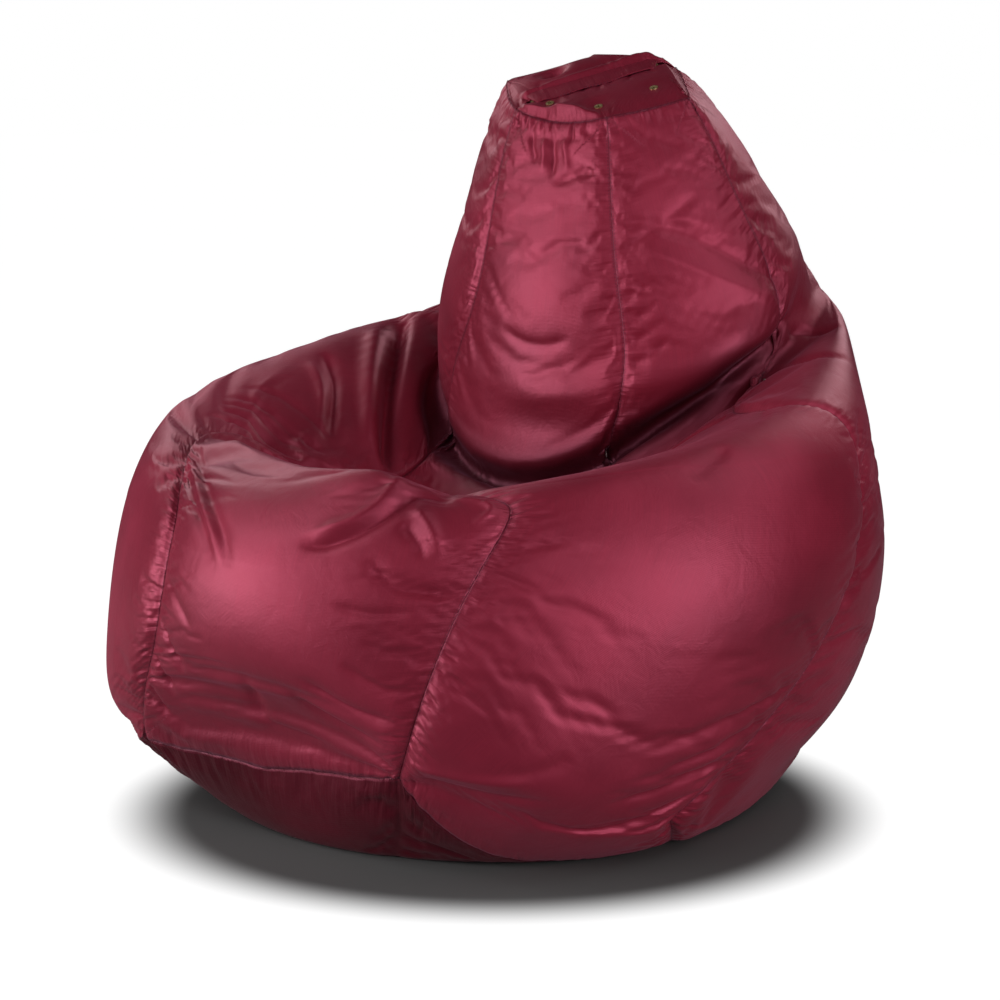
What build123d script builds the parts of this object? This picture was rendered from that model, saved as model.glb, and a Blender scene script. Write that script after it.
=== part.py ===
from build123d import *
import os

import numpy as np

# Bean bag chair: a pear-shaped cover of six cloth gores between a hexagonal base panel and a
# small hexagonal top, sat into so that its neck stands up as a backrest. Inside are a liner
# and a fill of foam beads. Millimetres, +Z up, the seat faces -Y, and the origin is on the
# floor under the middle of the bag. "Right" is the side of +X.

# ---------------------------------------------------------------- driving dimensions
# The filled bag's form, as rings from the floor up. A ring runs round the bag by the angle a,
# from the front (a = 0) over +X (90) to the rear (180):
#   x = w1 sin a + w2 sin 2a + w3 sin 3a
#   y = d0 - d1 cos a + d2 cos 2a + d3 cos 3a
#   z = h0 + h1 cos a + h2 cos 2a + h3 cos 3a
# so w1 is half its width, d0 and d1 are its middle and half its depth, h0 is its height and
# h1 how much higher the front is than the rear, and the rest shape it. "turn" is where the
# front left seam crosses it, in degrees, because the cloth is twisted on the filling.
RINGS = {
    #               w1   w2   w3     d0   d1   d2   d3     h0    h1   h2   h3    turn
    "floor":     ((300,   0,   0), ( 15, 322,   0,   0), (  0,    0,   0,   0), -40),
    "base_edge": ((390, -10,  15), (-45, 390,  45,  25), ( 60,   40,  20,  24), -35),
    "low_belly": ((425, -20,  -5), (-30, 445,  30,  15), (175,   35,  10,  10), -25),
    "belly":     ((445,   0, -25), ( 15, 450,  -5,   5), (320,   25,   0,  -5), -21),
    "shoulder":  ((415,  35, -15), ( 70, 410, -30,  -5), (440,  -20, -15, -10), -26),
    "seat_rim":  ((355,  25,   5), (125, 360, -25,   5), (490,  -95, -20,   0), -43),
    "seat":      ((262, -15,   0), (172, 292, -30,   0), (480, -170, -20,  -5), -42),
    "waist":     ((250,   5,   0), (240, 185, -15,  -5), (530, -178, -12,   0), -40),
    "low_back":  ((242,  15,   0), (240, 152, -10,   0), (604, -132,   0,   0), -33),
    "high_back": ((196,   0,   0), (210, 138,  -2,   0), (703,  -95,   5,   0), -26),
    "top_edge":  ((139,   0,   0), (201,  82,   0,   0), (825,  -33,   0,   0), -30),
}
floor_middle = 63.0          # y of the middle of the floor face
top_middle = (188.0, 850.0)  # y and z that the gores run on to, inside the top
base_roundness = 1.8         # power by which the panel turns up from the floor
base_squareness = 0.5        # how straight the base edge runs between its corners, 0 to 1
top_squareness = 1.0         # and the top edge
base_square_reach = 0.5      # how far the straight edges reach into the gores, in rings
top_square_reach = 0.8

cloth_wall = 2.0             # stand-in for 0.4 mm cloth with its lining and seam allowances
seam_gap = 0.5               # line of stitches between two panels
liner_gap = 9.0              # loose fit of the liner in the cover
liner_wall = 1.5             # stand-in for 0.2 mm liner cloth
fill_gap = 4.0               # loose fit of the beads in the liner

crown = 9.0                  # height of the top's flat band above the top edge
band_length = 168.0          # flat band that holds the zip
band_half_width = 17.0
zip_channel = 10.0           # between the two turned cloth edges over the zip
channel_taper = 6.0          # length in which the channel closes past the band
top_ease = 1.5               # room between the underside of the top and the gores

zip_end_room = 4.0           # the zip is this much shorter than the band at each end
tape_width = 12.0
tape_thickness = 0.6
coil_width = 2.4             # one row of coil teeth
coil_height = 2.4
coil_rounding = 0.7
coil_split = 1.2             # between the rows, where the slider's web runs
stop_length = 3.0
stop_height = 3.4
stop_clearance = 0.3

slider_length = 11.0
slider_width = 8.8
slider_plate = 1.0
slider_corner = 2.0
slider_clearance = 0.15      # on the coil and the tapes
flange_thickness = 1.1       # the plates' turned sides
web_width = 0.8
web_length = 4.0
loop_height = 2.6            # loop on the slider, which has no pull tab
loop_width = 2.4
loop_length = 7.0
loop_hole = 1.6

placket_width = 30.0         # flap of double cloth over the zip
placket_thickness = 2.0
placket_clearance = 0.4      # over the slider's loop and over its own hem
placket_end_room = 2.0       # short of the band at each end
hem_width = 6.0              # its sewn edge

eyelet_outside = 10.0
eyelet_bore = 4.6
eyelet_wall = 0.5
eyelet_flange = 0.8
eyelet_clearance = 0.2       # round the barrel, and between the cloth and the washer
eyelet_seat = 0.05           # flange over the cloth
eyelet_margin = 2.0          # of cloth round a flange, at the slope's ends
# half of the top, share along its slope from end to end (-1 to 1), share down it from the band
EYELETS = (("front", -0.89, 0.10), ("front", -0.68, 0.64), ("front", 0.60, 0.57), ("rear", -0.30, 0.50))

strips_per_gore = 4          # ruled strips across one gore, and facets of the base panel
points_per_ring = 3          # points on a seam from one ring to the next
facets_per_gore = 4          # flat facets of the sacks inside the cover
facets_per_ring = 3

# ---------------------------------------------------------------- the bag's form
FLOOR, BASE, TOP = 1, 2, 11  # numbers of the rings "floor", "base_edge" and "top_edge"
GORES = ("gore_front", "gore_front_right", "gore_rear_right",
         "gore_rear", "gore_rear_left", "gore_front_left")


def ring_table():
    """All rings as rows of eleven sizes, with a point at each end, and the seams' turns."""
    rows = [np.concatenate([w, d, h]) for w, d, h, _ in RINGS.values()]
    first = np.array([0, 0, 0, floor_middle, 0, 0, 0, 0, 0, 0, 0], float)
    last = np.array([0, 0, 0, top_middle[0], 0, 0, 0, top_middle[1], 0, 0, 0], float)
    turns = [turn for *_, turn in RINGS.values()]
    return np.vstack([first, *rows, last]), np.radians([turns[0], *turns, turns[-1]])


SIZES, TURNS = ring_table()


def natural_spline(values, at):
    """Cubic through one value per ring, with no bend at its ends: each piece is a straight
    blend of its two values and of their second derivatives, which one linear system gives."""
    count = len(values)
    bends = np.zeros_like(values)
    middle = 4 * np.eye(count - 2) + np.eye(count - 2, k=1) + np.eye(count - 2, k=-1)
    bends[1:-1] = np.linalg.solve(middle, 6 * np.diff(values, 2, axis=0))
    ring = np.clip(np.floor(at).astype(int), 0, count - 2)
    up = np.asarray(at - ring).reshape(np.shape(at) + (1,) * (values.ndim - 1))
    down = 1 - up
    return (down * values[ring] + up * values[ring + 1]
            + ((down**3 - down) * bends[ring] + (up**3 - up) * bends[ring + 1]) / 6)


def round_form(angle, ring):
    """Point of the bag at an angle round it and a height counted in rings."""
    s = natural_spline(SIZES, ring)
    x = sum(s[..., k] * np.sin((k + 1) * angle) for k in range(3))
    y = s[..., 3] - s[..., 4] * np.cos(angle) + sum(
        s[..., 3 + k] * np.cos(k * angle) for k in (2, 3))
    z = sum(s[..., 7 + k] * np.cos(k * angle) for k in range(4))
    return np.stack([x, y, z], axis=-1)


def drawn_form(gore, ring):
    """Point at gore 0 to 6 round the bag, where whole numbers are seams: the round form,
    drawn towards the straight line between two seams near the base edge and the top edge."""
    gore, ring = np.broadcast_arrays(np.asarray(gore, float), np.asarray(ring, float))
    turn = natural_spline(TURNS, ring)
    seam = np.floor(gore + 1e-9)
    sixth = np.pi / 3
    left = round_form(turn + seam * sixth, ring)
    right = round_form(turn + (seam + 1) * sixth, ring)
    square = (base_squareness * np.exp(-(((ring - BASE) / base_square_reach) ** 2))
              + top_squareness * np.exp(-(((ring - TOP) / top_square_reach) ** 2)))[..., None]
    share = (gore - seam)[..., None]
    point = (1 - square) * round_form(turn + gore * sixth, ring)
    return point + square * (left + (right - left) * share)


def bag_form(gore, ring):
    """The same down to the floor's middle: inside the base edge the form runs straight in to
    the floor ring, and turns up from the floor by a power of the way out."""
    gore, ring = np.broadcast_arrays(np.asarray(gore, float), np.asarray(ring, float))
    edge = drawn_form(gore, np.maximum(ring, BASE))
    floor = drawn_form(gore, np.full(ring.shape, float(FLOOR)))
    middle = np.array([0, floor_middle, 0])
    out = np.clip(ring - FLOOR, 0, 1)[..., None]
    inwards = np.clip(FLOOR - ring, 0, 1)[..., None]
    point = floor + (edge - floor) * out
    point[..., 2] = edge[..., 2] * out[..., 0] ** base_roundness
    return point + (middle - point) * inwards


def middle_of_form():
    """Middle of the bag's outline on the floor, which the origin is moved to."""
    gore, ring = np.meshgrid(np.linspace(0, 6, 6 * strips_per_gore + 1), ring_steps(BASE, TOP, 10))
    point = bag_form(gore, ring).reshape(-1, 3)
    middle = (point.min(axis=0) + point.max(axis=0)) / 2
    return np.array([middle[0], middle[1], 0])


def ring_steps(first, last, per_ring):
    """Heights of the points on a seam, in rings."""
    return np.linspace(first, last, round((last - first) * per_ring) + 1)


MIDDLE = middle_of_form()


def skin(gore, ring, depth=0.0):
    """Point at a depth under the bag's surface, square to it; over the floor, square to that."""
    step = 1e-3
    point = bag_form(gore, ring) - MIDDLE
    across = bag_form(np.asarray(gore) + step, ring) - bag_form(np.asarray(gore) - step, ring)
    along = bag_form(gore, np.asarray(ring) + step) - bag_form(gore, np.asarray(ring) - step)
    normal = unit(np.cross(across, along))
    on_floor = (np.asarray(ring) <= FLOOR)[..., None]
    normal = np.where(on_floor, np.array([0.0, 0.0, -1.0]), normal)
    return point - depth * normal


# ---------------------------------------------------------------- faces and solids
def line(a, b):
    return Edge.make_line(Vector(*a), Vector(*b))


def four_sided(a, b, c, d):
    """Face between the straight edges a-b and d-c."""
    return Face.make_surface_from_curves(line(a, b), line(d, c))


def flat_face(*corners):
    return Face(Wire.make_polygon([Vector(*p) for p in corners], close=True))


def closed_solid(faces):
    """Solid whose whole boundary is the given faces, turned over where they face inwards."""
    solid = Solid(Shell(faces))
    return solid if solid.volume > 0 else Solid(Shell([-face for face in solid.faces()]))


def unit(vectors):
    return vectors / np.linalg.norm(vectors, axis=-1, keepdims=True)


def trimmed(points, others, distance):
    """Points of an edge moved a distance towards the others, square to the edge."""
    along = unit(np.gradient(points, axis=0))
    way = others - points
    way -= np.sum(way * along, axis=-1, keepdims=True) * along
    return points + distance * unit(way)


def ribs_at(gores, rings, depth):
    """Points of the ribs at some places round the bag, one row for each rib."""
    return np.array([skin(np.full(len(rings), gore), rings, depth) for gore in gores])


def ruled_strips(ribs):
    """Smooth curves along the ribs, in step with each other, and the ruled faces between."""
    steps = list(np.linspace(0, 1, len(ribs[0])))
    curves = [Edge.make_spline([Vector(*p) for p in rib], parameters=steps) for rib in ribs]
    return curves, [Face.make_surface_from_curves(a, b) for a, b in zip(curves, curves[1:])]


# ---------------------------------------------------------------- the cover
def gore_ribs(number, depth):
    """Points of the ribs across one gore, with half a seam gap left along all its edges."""
    gores = number + np.linspace(0, 1, strips_per_gore + 1)
    ribs = ribs_at(gores, ring_steps(BASE, TOP, points_per_ring), depth)
    ribs[0] = trimmed(ribs[0], ribs[1], seam_gap / 2)
    ribs[-1] = trimmed(ribs[-1], ribs[-2], seam_gap / 2)
    ribs[:, 0] = trimmed(ribs[:, 0], ribs[:, 1], seam_gap / 2)
    ribs[:, -1] = trimmed(ribs[:, -1], ribs[:, -2], seam_gap / 2)
    return ribs


def make_gore(number):
    """One cloth gore: ruled strips outside and inside, closed along its four edges."""
    outer, inner = gore_ribs(number, 0), gore_ribs(number, cloth_wall)
    outer_curves, faces = ruled_strips(outer)
    inner_curves, inner_faces = ruled_strips(inner)
    faces += inner_faces
    for side in (0, -1):
        faces.append(Face.make_surface_from_curves(outer_curves[side], inner_curves[side]))
    for end in (0, -1):
        for k in range(strips_per_gore):
            faces.append(four_sided(outer[k, end], outer[k + 1, end],
                                    inner[k + 1, end], inner[k, end]))
    return closed_solid(faces)


def facets(grid):
    """Flat three-sided faces over a grid of points, two to a cell."""
    faces = []
    for a, b in zip(grid, grid[1:]):
        for k in range(len(a) - 1):
            faces += [flat_face(a[k], b[k], b[k + 1]), flat_face(a[k], b[k + 1], a[k + 1])]
    return faces


def make_base_panel():
    """The base panel: flat on the floor, and turned up round it to the base edge."""
    gores = np.linspace(0, 6, 6 * strips_per_gore + 1)
    faces, rims = [], []
    for depth in (0, cloth_wall):
        grid = ribs_at(gores, ring_steps(FLOOR, BASE, points_per_ring), depth)
        grid[:, -1] = trimmed(grid[:, -1], grid[:, -2], seam_gap / 2)
        grid[-1] = grid[0]
        faces += facets(grid) + [flat_face(*grid[:-1, 0])]
        rims.append(grid[:, -1])
    outer, inner = rims
    for k in range(len(outer) - 1):
        faces.append(four_sided(outer[k], outer[k + 1], inner[k + 1], inner[k]))
    return closed_solid(faces)


# ---------------------------------------------------------------- the top
# The top edge is a flat hexagon. Its frame has x along the zip, from the front left corner
# (seam 0) to the rear right corner (seam 3), y across it to the rear, and z out of the bag.
CORNERS = skin(np.arange(7.0), np.full(7, float(TOP)))
top_origin = (CORNERS[0] + CORNERS[3]) / 2
top_x = (CORNERS[3] - CORNERS[0]) / np.linalg.norm(CORNERS[3] - CORNERS[0])
top_z = np.cross(CORNERS[1] - CORNERS[0], top_x)
top_z /= np.linalg.norm(top_z)
if top_z[2] < 0:
    top_z = -top_z
top_y = np.cross(top_z, top_x)
TOP_PLANE = Plane(origin=Vector(*top_origin), x_dir=Vector(*top_x), z_dir=Vector(*top_z))
FRONT, REAR = -1, 1


def on_top(x, y, z):
    """Point of the top's frame in the bag's."""
    return top_origin + x * top_x + y * top_y + z * top_z


def in_top(point):
    """Point of the bag's frame in the top's."""
    return np.array([(point - top_origin) @ axis for axis in (top_x, top_y, top_z)])


def half_outline(side, depth):
    """Corners of one half of the top on its four seams, from the left end of the slit."""
    seams = (0, 1, 2, 3) if side == FRONT else (6, 5, 4, 3)
    points = skin(np.array(seams, float), np.full(4, float(TOP)), depth)
    room = seam_gap / 2 + (top_ease if depth else 0)
    points = points + room * unit(top_origin - points)
    for end, inside in ((0, 1), (3, 2)):
        across = abs(in_top(points[inside])[1] - in_top(points[end])[1])
        points[end] += (points[inside] - points[end]) * (seam_gap / 2 / across)
    return points


def half_faces(side, depth):
    """Faces of one side of a half top: a flat band along the zip and slopes to the edge.
    Also gives the loop of its edge points."""
    start, left, right, stop = half_outline(side, depth)
    height = crown - depth
    half = band_length / 2
    foot = abs(in_top(start)[0])
    low = height - height * channel_taper / (foot - half)
    inner = side * zip_channel / 2
    outer = side * band_half_width
    close = side * seam_gap / 2
    p0, p1 = on_top(-half, inner, height), on_top(half, inner, height)
    q0, q1 = on_top(-half, outer, height), on_top(half, outer, height)
    m0, m1 = on_top(-half - channel_taper, close, low), on_top(half + channel_taper, close, low)
    faces = [flat_face(p0, p1, q1, q0), four_sided(q0, q1, right, left)]
    faces += [flat_face(start, left, q0), flat_face(stop, right, q1)]
    faces += [flat_face(start, q0, m0), flat_face(stop, q1, m1)]
    faces += [flat_face(m0, q0, p0), flat_face(m1, q1, p1)]
    return faces, [start, left, right, stop, m1, p1, p0, m0]


def eyelet_place(half, along, down):
    """Place of an eyelet on the slope of its half of the top, with z out of the cloth."""
    side = REAR if half == "rear" else FRONT
    _, left, right, _ = [in_top(corner) for corner in half_outline(side, 0)]
    band_left = np.array([-band_length / 2, side * band_half_width, crown])
    band_right = np.array([band_length / 2, side * band_half_width, crown])
    start = band_left + (left - band_left) * down
    end = band_right + (right - band_right) * down
    reach = (end[0] - start[0]) / 2 - eyelet_outside / 2 - eyelet_margin
    place = (start + end) / 2 + along * reach * unit(end - start)
    normal = unit(side * np.cross(end - start, left - band_left))
    slope = Plane(origin=Vector(*place), x_dir=Vector(*(end - start)), z_dir=Vector(*normal))
    return TOP_PLANE.location * slope.location


def make_half_top(side):
    """One half of the top: two sets of faces a cloth wall apart, pierced for its eyelets."""
    upper, rim = half_faces(side, 0)
    lower, under = half_faces(side, cloth_wall)
    faces = upper + lower
    for k in range(len(rim)):
        n = (k + 1) % len(rim)
        faces.append(four_sided(rim[k], rim[n], under[n], under[k]))
    half = closed_solid(faces)
    hole = eyelet_bore / 2 + eyelet_wall + eyelet_clearance
    for eyelet in EYELETS:
        if (eyelet[0] == "rear") == (side == REAR):
            half -= eyelet_place(*eyelet) * Cylinder(hole, 4 * cloth_wall)
    return half.solid()


def block(length, width, height, x=0.0, y=0.0, z=0.0):
    """Block in the top's frame, from its bottom at height z."""
    return Pos(x, y, z) * Box(length, width, height, align=(Align.CENTER, Align.CENTER, Align.MIN))


# ---------------------------------------------------------------- the zip and its placket
zip_length = band_length - 2 * zip_end_room
zip_level = crown - cloth_wall                  # upper face of the tapes, under the band
coil_level = zip_level - tape_thickness / 2     # middle of the coil
row_middle = (coil_split + coil_width) / 2
row_edge = coil_split / 2 + coil_width
coil_length = zip_length - 2 * stop_length
slider_rest = zip_length / 2 - stop_length - stop_clearance - slider_length / 2
slider_travel = zip_length - 2 * stop_length - 2 * stop_clearance - slider_length
plate_level = coil_level + coil_height / 2 + slider_clearance
loop_top = plate_level + slider_plate + loop_height
placket_level = loop_top + placket_clearance
placket_length = band_length - 2 * placket_end_room


def make_tape(side):
    return block(zip_length, tape_width, tape_thickness,
                 y=side * (row_edge + tape_width / 2), z=zip_level - tape_thickness)


def make_coil_row(side):
    """One row of coil teeth, a rounded bar along the inner edge of its tape."""
    section = Plane.YZ * RectangleRounded(coil_width, coil_height, coil_rounding)
    return Pos(-coil_length / 2, side * row_middle, coil_level) * extrude(section, coil_length)


def make_top_stops():
    """One stop on each row, at the closed end."""
    x = (zip_length - stop_length) / 2
    low = coil_level - stop_height / 2
    return [block(stop_length, coil_width, stop_height, x, side * row_middle, low)
            for side in (FRONT, REAR)]


def make_bottom_stop():
    """One stop across both rows, at the other end."""
    return block(stop_length, 2 * row_edge, stop_height,
                 -(zip_length - stop_length) / 2, 0, coil_level - stop_height / 2)


def make_slider():
    """Slider: two plates joined by a web between the rows, with sides turned towards the
    tapes, and a loop on top. It has no pull tab, so that a child can't open the bag."""
    x = slider_rest
    under = coil_level - coil_height / 2 - slider_clearance - slider_plate
    plate = extrude(RectangleRounded(slider_length, slider_width, slider_corner), slider_plate)
    body = Pos(x, 0, plate_level) * plate + Pos(x, 0, under) * plate
    front = x + (slider_length - web_length) / 2
    body += block(web_length, web_width, plate_level - under, front, 0, under)
    flange_length = slider_length - 2 * slider_corner
    upper_flange = plate_level - zip_level - slider_clearance
    lower_flange = zip_level - tape_thickness - slider_clearance - under - slider_plate
    for side in (FRONT, REAR):
        y = side * (slider_width - flange_thickness) / 2
        body += block(flange_length, flange_thickness, upper_flange, x, y,
                      plate_level - upper_flange)
        body += block(flange_length, flange_thickness, lower_flange, x, y, under + slider_plate)
    loop = block(loop_length, loop_width, loop_height, x, 0, plate_level + slider_plate)
    hole = Rot(90, 0, 0) * Cylinder(loop_hole / 2, 2 * loop_width)
    return body + loop - Pos(x, 0, plate_level + slider_plate + loop_height / 2) * hole


def make_placket_hem():
    """Sewn edge of the placket, on the band's rear half."""
    return block(placket_length, hem_width, placket_level - placket_clearance - crown,
                 y=band_half_width - hem_width / 2, z=crown)


def make_placket_flap():
    """Flap of double cloth over the zip, with a round fold that it turns about."""
    middle = band_half_width - placket_width / 2
    flap = block(placket_length, placket_width, placket_thickness, y=middle, z=placket_level)
    folds = flap.edges().filter_by(Axis.X).group_by(Axis.Y)[-1]
    return fillet(folds, placket_thickness * 0.49)


# ---------------------------------------------------------------- the eyelets
def make_eyelet(eyelet):
    """Eyelet: a flange on the cloth with a barrel through it."""
    place = eyelet_place(*eyelet) * Pos(0, 0, eyelet_seat)
    ring = Cylinder(eyelet_outside / 2, eyelet_flange, align=(Align.CENTER, Align.CENTER, Align.MIN))
    length = cloth_wall + 2 * eyelet_flange
    barrel = Cylinder(eyelet_bore / 2 + eyelet_wall, length,
                      align=(Align.CENTER, Align.CENTER, Align.MAX))
    bore = Cylinder(eyelet_bore / 2, 4 * length)
    return (place * (ring + barrel - bore)).solid()


def make_washer(eyelet):
    """Washer of an eyelet, under the cloth and round the barrel's end."""
    hole = eyelet_bore / 2 + eyelet_wall + eyelet_clearance / 2
    ring = Cylinder(eyelet_outside / 2, eyelet_flange) - Cylinder(hole, 2 * eyelet_flange)
    level = -cloth_wall - eyelet_clearance - eyelet_flange / 2
    return (eyelet_place(*eyelet) * Pos(0, 0, level) * ring).solid()


# ---------------------------------------------------------------- inside the cover
def sack_grid(first, last, depth):
    """Grid of points of a sack at a depth under the cover, from one seam to another, with its
    last row as deep under the top edge, and the middle of its top."""
    gores = np.linspace(first, last, (last - first) * facets_per_gore + 1)
    grid = ribs_at(gores, ring_steps(FLOOR, TOP, facets_per_ring), depth)
    grid[:, -1] -= depth * top_z
    return grid, on_top(0, 0, crown / 2 - depth)


def sack_faces(grid, peak):
    """Facets of a sack, its flat bottom and the fan over its top."""
    return facets(grid) + [flat_face(a[-1], b[-1], peak) for a, b in zip(grid, grid[1:])]


def make_liner(side):
    """One half of the liner, from seam 0 to seam 3 or on to seam 6, sewn to the other along
    these seams and across the middle of its bottom and its top."""
    first = 0 if side == FRONT else 3
    faces, rims = [], []
    for depth in (cloth_wall + liner_gap, cloth_wall + liner_gap + liner_wall):
        grid, peak = sack_grid(first, first + 3, depth)
        grid[0] = trimmed(grid[0], grid[1], seam_gap / 2)
        grid[-1] = trimmed(grid[-1], grid[-2], seam_gap / 2)
        grid[:, 0, 2] = depth
        peak = peak + side * seam_gap / 2 * top_y
        faces += sack_faces(grid, peak) + [flat_face(*grid[:, 0])]
        rims.append([*grid[0], peak, *grid[-1][::-1]])
    outer, inner = rims
    for k in range(len(outer)):
        n = (k + 1) % len(outer)
        faces.append(four_sided(outer[k], outer[n], inner[n], inner[k]))
    return closed_solid(faces)


def make_bead_fill():
    grid, peak = sack_grid(0, 6, cloth_wall + liner_gap + liner_wall + fill_gap)
    grid[-1] = grid[0]
    return closed_solid(sack_faces(grid, peak) + [flat_face(*grid[:-1, 0])])


# ---------------------------------------------------------------- all pieces
def make_pieces():
    """Every node's name with its solids."""
    pieces = {name: make_gore(number) for number, name in enumerate(GORES)}
    pieces["base_panel"] = make_base_panel()
    for side, word in ((FRONT, "front"), (REAR, "rear")):
        pieces["top_half_" + word] = make_half_top(side)
        pieces["zip_tape_" + word] = TOP_PLANE * make_tape(side)
        pieces["zip_coil_" + word] = TOP_PLANE * make_coil_row(side)
        pieces["liner_" + word] = make_liner(side)
    pieces["zip_top_stops"] = Compound([TOP_PLANE * stop for stop in make_top_stops()])
    pieces["zip_bottom_stop"] = TOP_PLANE * make_bottom_stop()
    pieces["zip_slider"] = TOP_PLANE * make_slider()
    pieces["placket_hem"] = TOP_PLANE * make_placket_hem()
    pieces["placket_flap"] = TOP_PLANE * make_placket_flap()
    pieces["eyelets"] = Compound([make_eyelet(eyelet) for eyelet in EYELETS])
    pieces["eyelet_washers"] = Compound([make_washer(eyelet) for eyelet in EYELETS])
    pieces["bead_fill"] = make_bead_fill()
    return pieces


os.makedirs("parts", exist_ok=True)
for name, shape in make_pieces().items():
    export_step(shape, f"parts/{name}.step")
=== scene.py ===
import math

import bmesh
import bpy
import numpy as np
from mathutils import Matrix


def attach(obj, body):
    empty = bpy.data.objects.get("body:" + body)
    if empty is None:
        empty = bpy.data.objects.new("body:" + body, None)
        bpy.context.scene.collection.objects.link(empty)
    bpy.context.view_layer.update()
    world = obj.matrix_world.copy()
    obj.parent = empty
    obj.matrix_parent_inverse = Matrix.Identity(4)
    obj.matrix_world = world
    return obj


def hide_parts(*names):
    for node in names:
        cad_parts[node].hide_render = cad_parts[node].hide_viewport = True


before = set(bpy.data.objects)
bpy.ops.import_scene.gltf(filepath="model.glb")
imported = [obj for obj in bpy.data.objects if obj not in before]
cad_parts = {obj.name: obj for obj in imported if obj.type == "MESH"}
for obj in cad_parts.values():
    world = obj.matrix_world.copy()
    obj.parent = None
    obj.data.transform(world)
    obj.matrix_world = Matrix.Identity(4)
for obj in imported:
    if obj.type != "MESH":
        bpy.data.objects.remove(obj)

scene = bpy.context.scene
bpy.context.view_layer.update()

# ---------------------------------------------------------------- camera
# A long lens to the right of the seat's middle and a little above it, so that the sides of the
# bag keep their true proportions.
camera_azimuth, camera_elevation = math.radians(39.48), math.radians(8.73)
camera_distance = 3.5
camera_target = np.array([0.0, -0.008, 0.42])
to_camera = np.array([math.sin(camera_azimuth) * math.cos(camera_elevation),
                      -math.cos(camera_azimuth) * math.cos(camera_elevation),
                      math.sin(camera_elevation)])
camera_data = bpy.data.cameras.new("camera")
camera_data.lens = 107.1
camera_data.sensor_width = 36.0
camera_data.shift_x, camera_data.shift_y = 0.0099, -0.0599
camera = bpy.data.objects.new("camera", camera_data)
camera.location = camera_target + camera_distance * to_camera
camera.rotation_euler = (math.pi / 2 - camera_elevation, 0.0, camera_azimuth)
scene.collection.objects.link(camera)
scene.camera = camera

# ---------------------------------------------------------------- lights and world
# Soft boxes stand round the bag, the strongest low on the left and on the right, with weak
# ones in front, behind and over it, in a nearly dark room: satin cloth then shows long soft
# highlights, and the hollow stays dark.
right_of_camera = np.array([math.cos(camera_azimuth), math.sin(camera_azimuth), 0.0])
ahead_of_bag = np.array([to_camera[0], to_camera[1], 0.0]) / math.cos(camera_elevation)
lights_from, lights_distance = np.array([0.0, 0.0, 0.35]), 2.7
#          name      degrees right of the camera, degrees up, size, power
LIGHTS = (("left", -75, 3, (1.2, 1.2), 43.0),
          ("near_left", -45, 15, (1.1, 1.1), 9.0),
          ("high_left", -80, 38, (1.7, 1.1), 24.0),
          ("front", 10, 22, (1.1, 1.4), 9.0),
          ("right", 40, 5, (1.1, 1.2), 31.0),
          ("high_right", 70, 40, (1.1, 1.1), 9.0),
          ("over", 70, 65, (1.1, 1.1), 7.0),
          ("rear_left", -150, 30, (1.1, 1.1), 9.0),
          ("rear_right", 140, 30, (1.2, 1.1), 11.0))


def aim(thing, target):
    """Turns a light so that its -Z axis points at the target."""
    way = np.array(target) - np.array(thing.location)
    flat = math.hypot(way[0], way[1])
    thing.rotation_euler = (math.atan2(flat, -way[2]), 0.0, math.atan2(-way[0], way[1]))


for name, azimuth, elevation, size, power in LIGHTS:
    azimuth, elevation = math.radians(azimuth), math.radians(elevation)
    way = (math.cos(elevation) * (math.sin(azimuth) * right_of_camera + math.cos(azimuth) * ahead_of_bag)
           + np.array([0.0, 0.0, math.sin(elevation)]))
    lamp = bpy.data.lights.new(name, "AREA")
    lamp.shape = "RECTANGLE"
    lamp.size, lamp.size_y = size
    lamp.energy = power
    light = bpy.data.objects.new(name, lamp)
    light.location = lights_from + lights_distance * way
    aim(light, lights_from)
    scene.collection.objects.link(light)


def add_node(tree, kind, links=(), **settings):
    """Adds a shader node. Settings are its own properties, or the values of inputs when the
    name starts with "in_" (spaces as _, or a number); links are (input, output socket) pairs."""
    node = tree.nodes.new("ShaderNode" + kind)
    for key, value in settings.items():
        if key.startswith("in_"):
            socket = key[3:]
            node.inputs[int(socket) if socket.isdigit() else socket.replace("_", " ")].default_value = value
        else:
            setattr(node, key, value)
    for socket, source in links:
        tree.links.new(source, node.inputs[socket])
    return node


def linear(code):
    """Linear colour of an sRGB hex code, with full alpha."""
    srgb = np.array([int(code[k:k + 2], 16) for k in (1, 3, 5)]) / 255
    value = np.where(srgb <= 0.04045, srgb / 12.92, ((srgb + 0.055) / 1.055) ** 2.4)
    return (*map(float, value), 1.0)


world_grey = 0.02
world = bpy.data.worlds.new("studio")
world.use_nodes = True
tree = world.node_tree
tree.nodes.clear()
path = add_node(tree, "LightPath")
strength = add_node(tree, "Mix", [(0, path.outputs["Is Camera Ray"])],
                    data_type="FLOAT", in_2=world_grey, in_3=1.0)
backdrop = add_node(tree, "Background", [("Strength", strength.outputs[0])],
                    in_Color=(1.0, 1.0, 1.0, 1.0))
add_node(tree, "OutputWorld", [("Surface", backdrop.outputs[0])])
scene.world = world

# ---------------------------------------------------------------- floor
# A seamless floor with a painted shadow: for the camera it is dark matt paint in and round the
# bag's own shadow, and away from the bag it fades to the white of the backdrop for the camera alone.
floor_half = 12.0
# painted shadow: the ring round a point beside the bag where it fades out, and its dark tone for the camera
painted_shadow_reach, painted_shadow_middle = (0.355, 0.47), (0.055, -0.065)
painted_shadow_tone, floor_bounce = 0.10, 0.30


def object_from(name, points, faces):
    """New smooth-shaded object of a mesh, whose faces may have three or more sides."""
    faces = faces.tolist() if isinstance(faces, np.ndarray) else faces
    mesh = bpy.data.meshes.new(name)
    mesh.from_pydata(np.reshape(points, (-1, 3)).tolist(), [], faces)
    mesh.update()
    mesh.polygons.foreach_set("use_smooth", np.ones(len(mesh.polygons), bool))
    thing = bpy.data.objects.new(name, mesh)
    scene.collection.objects.link(thing)
    return thing


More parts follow.
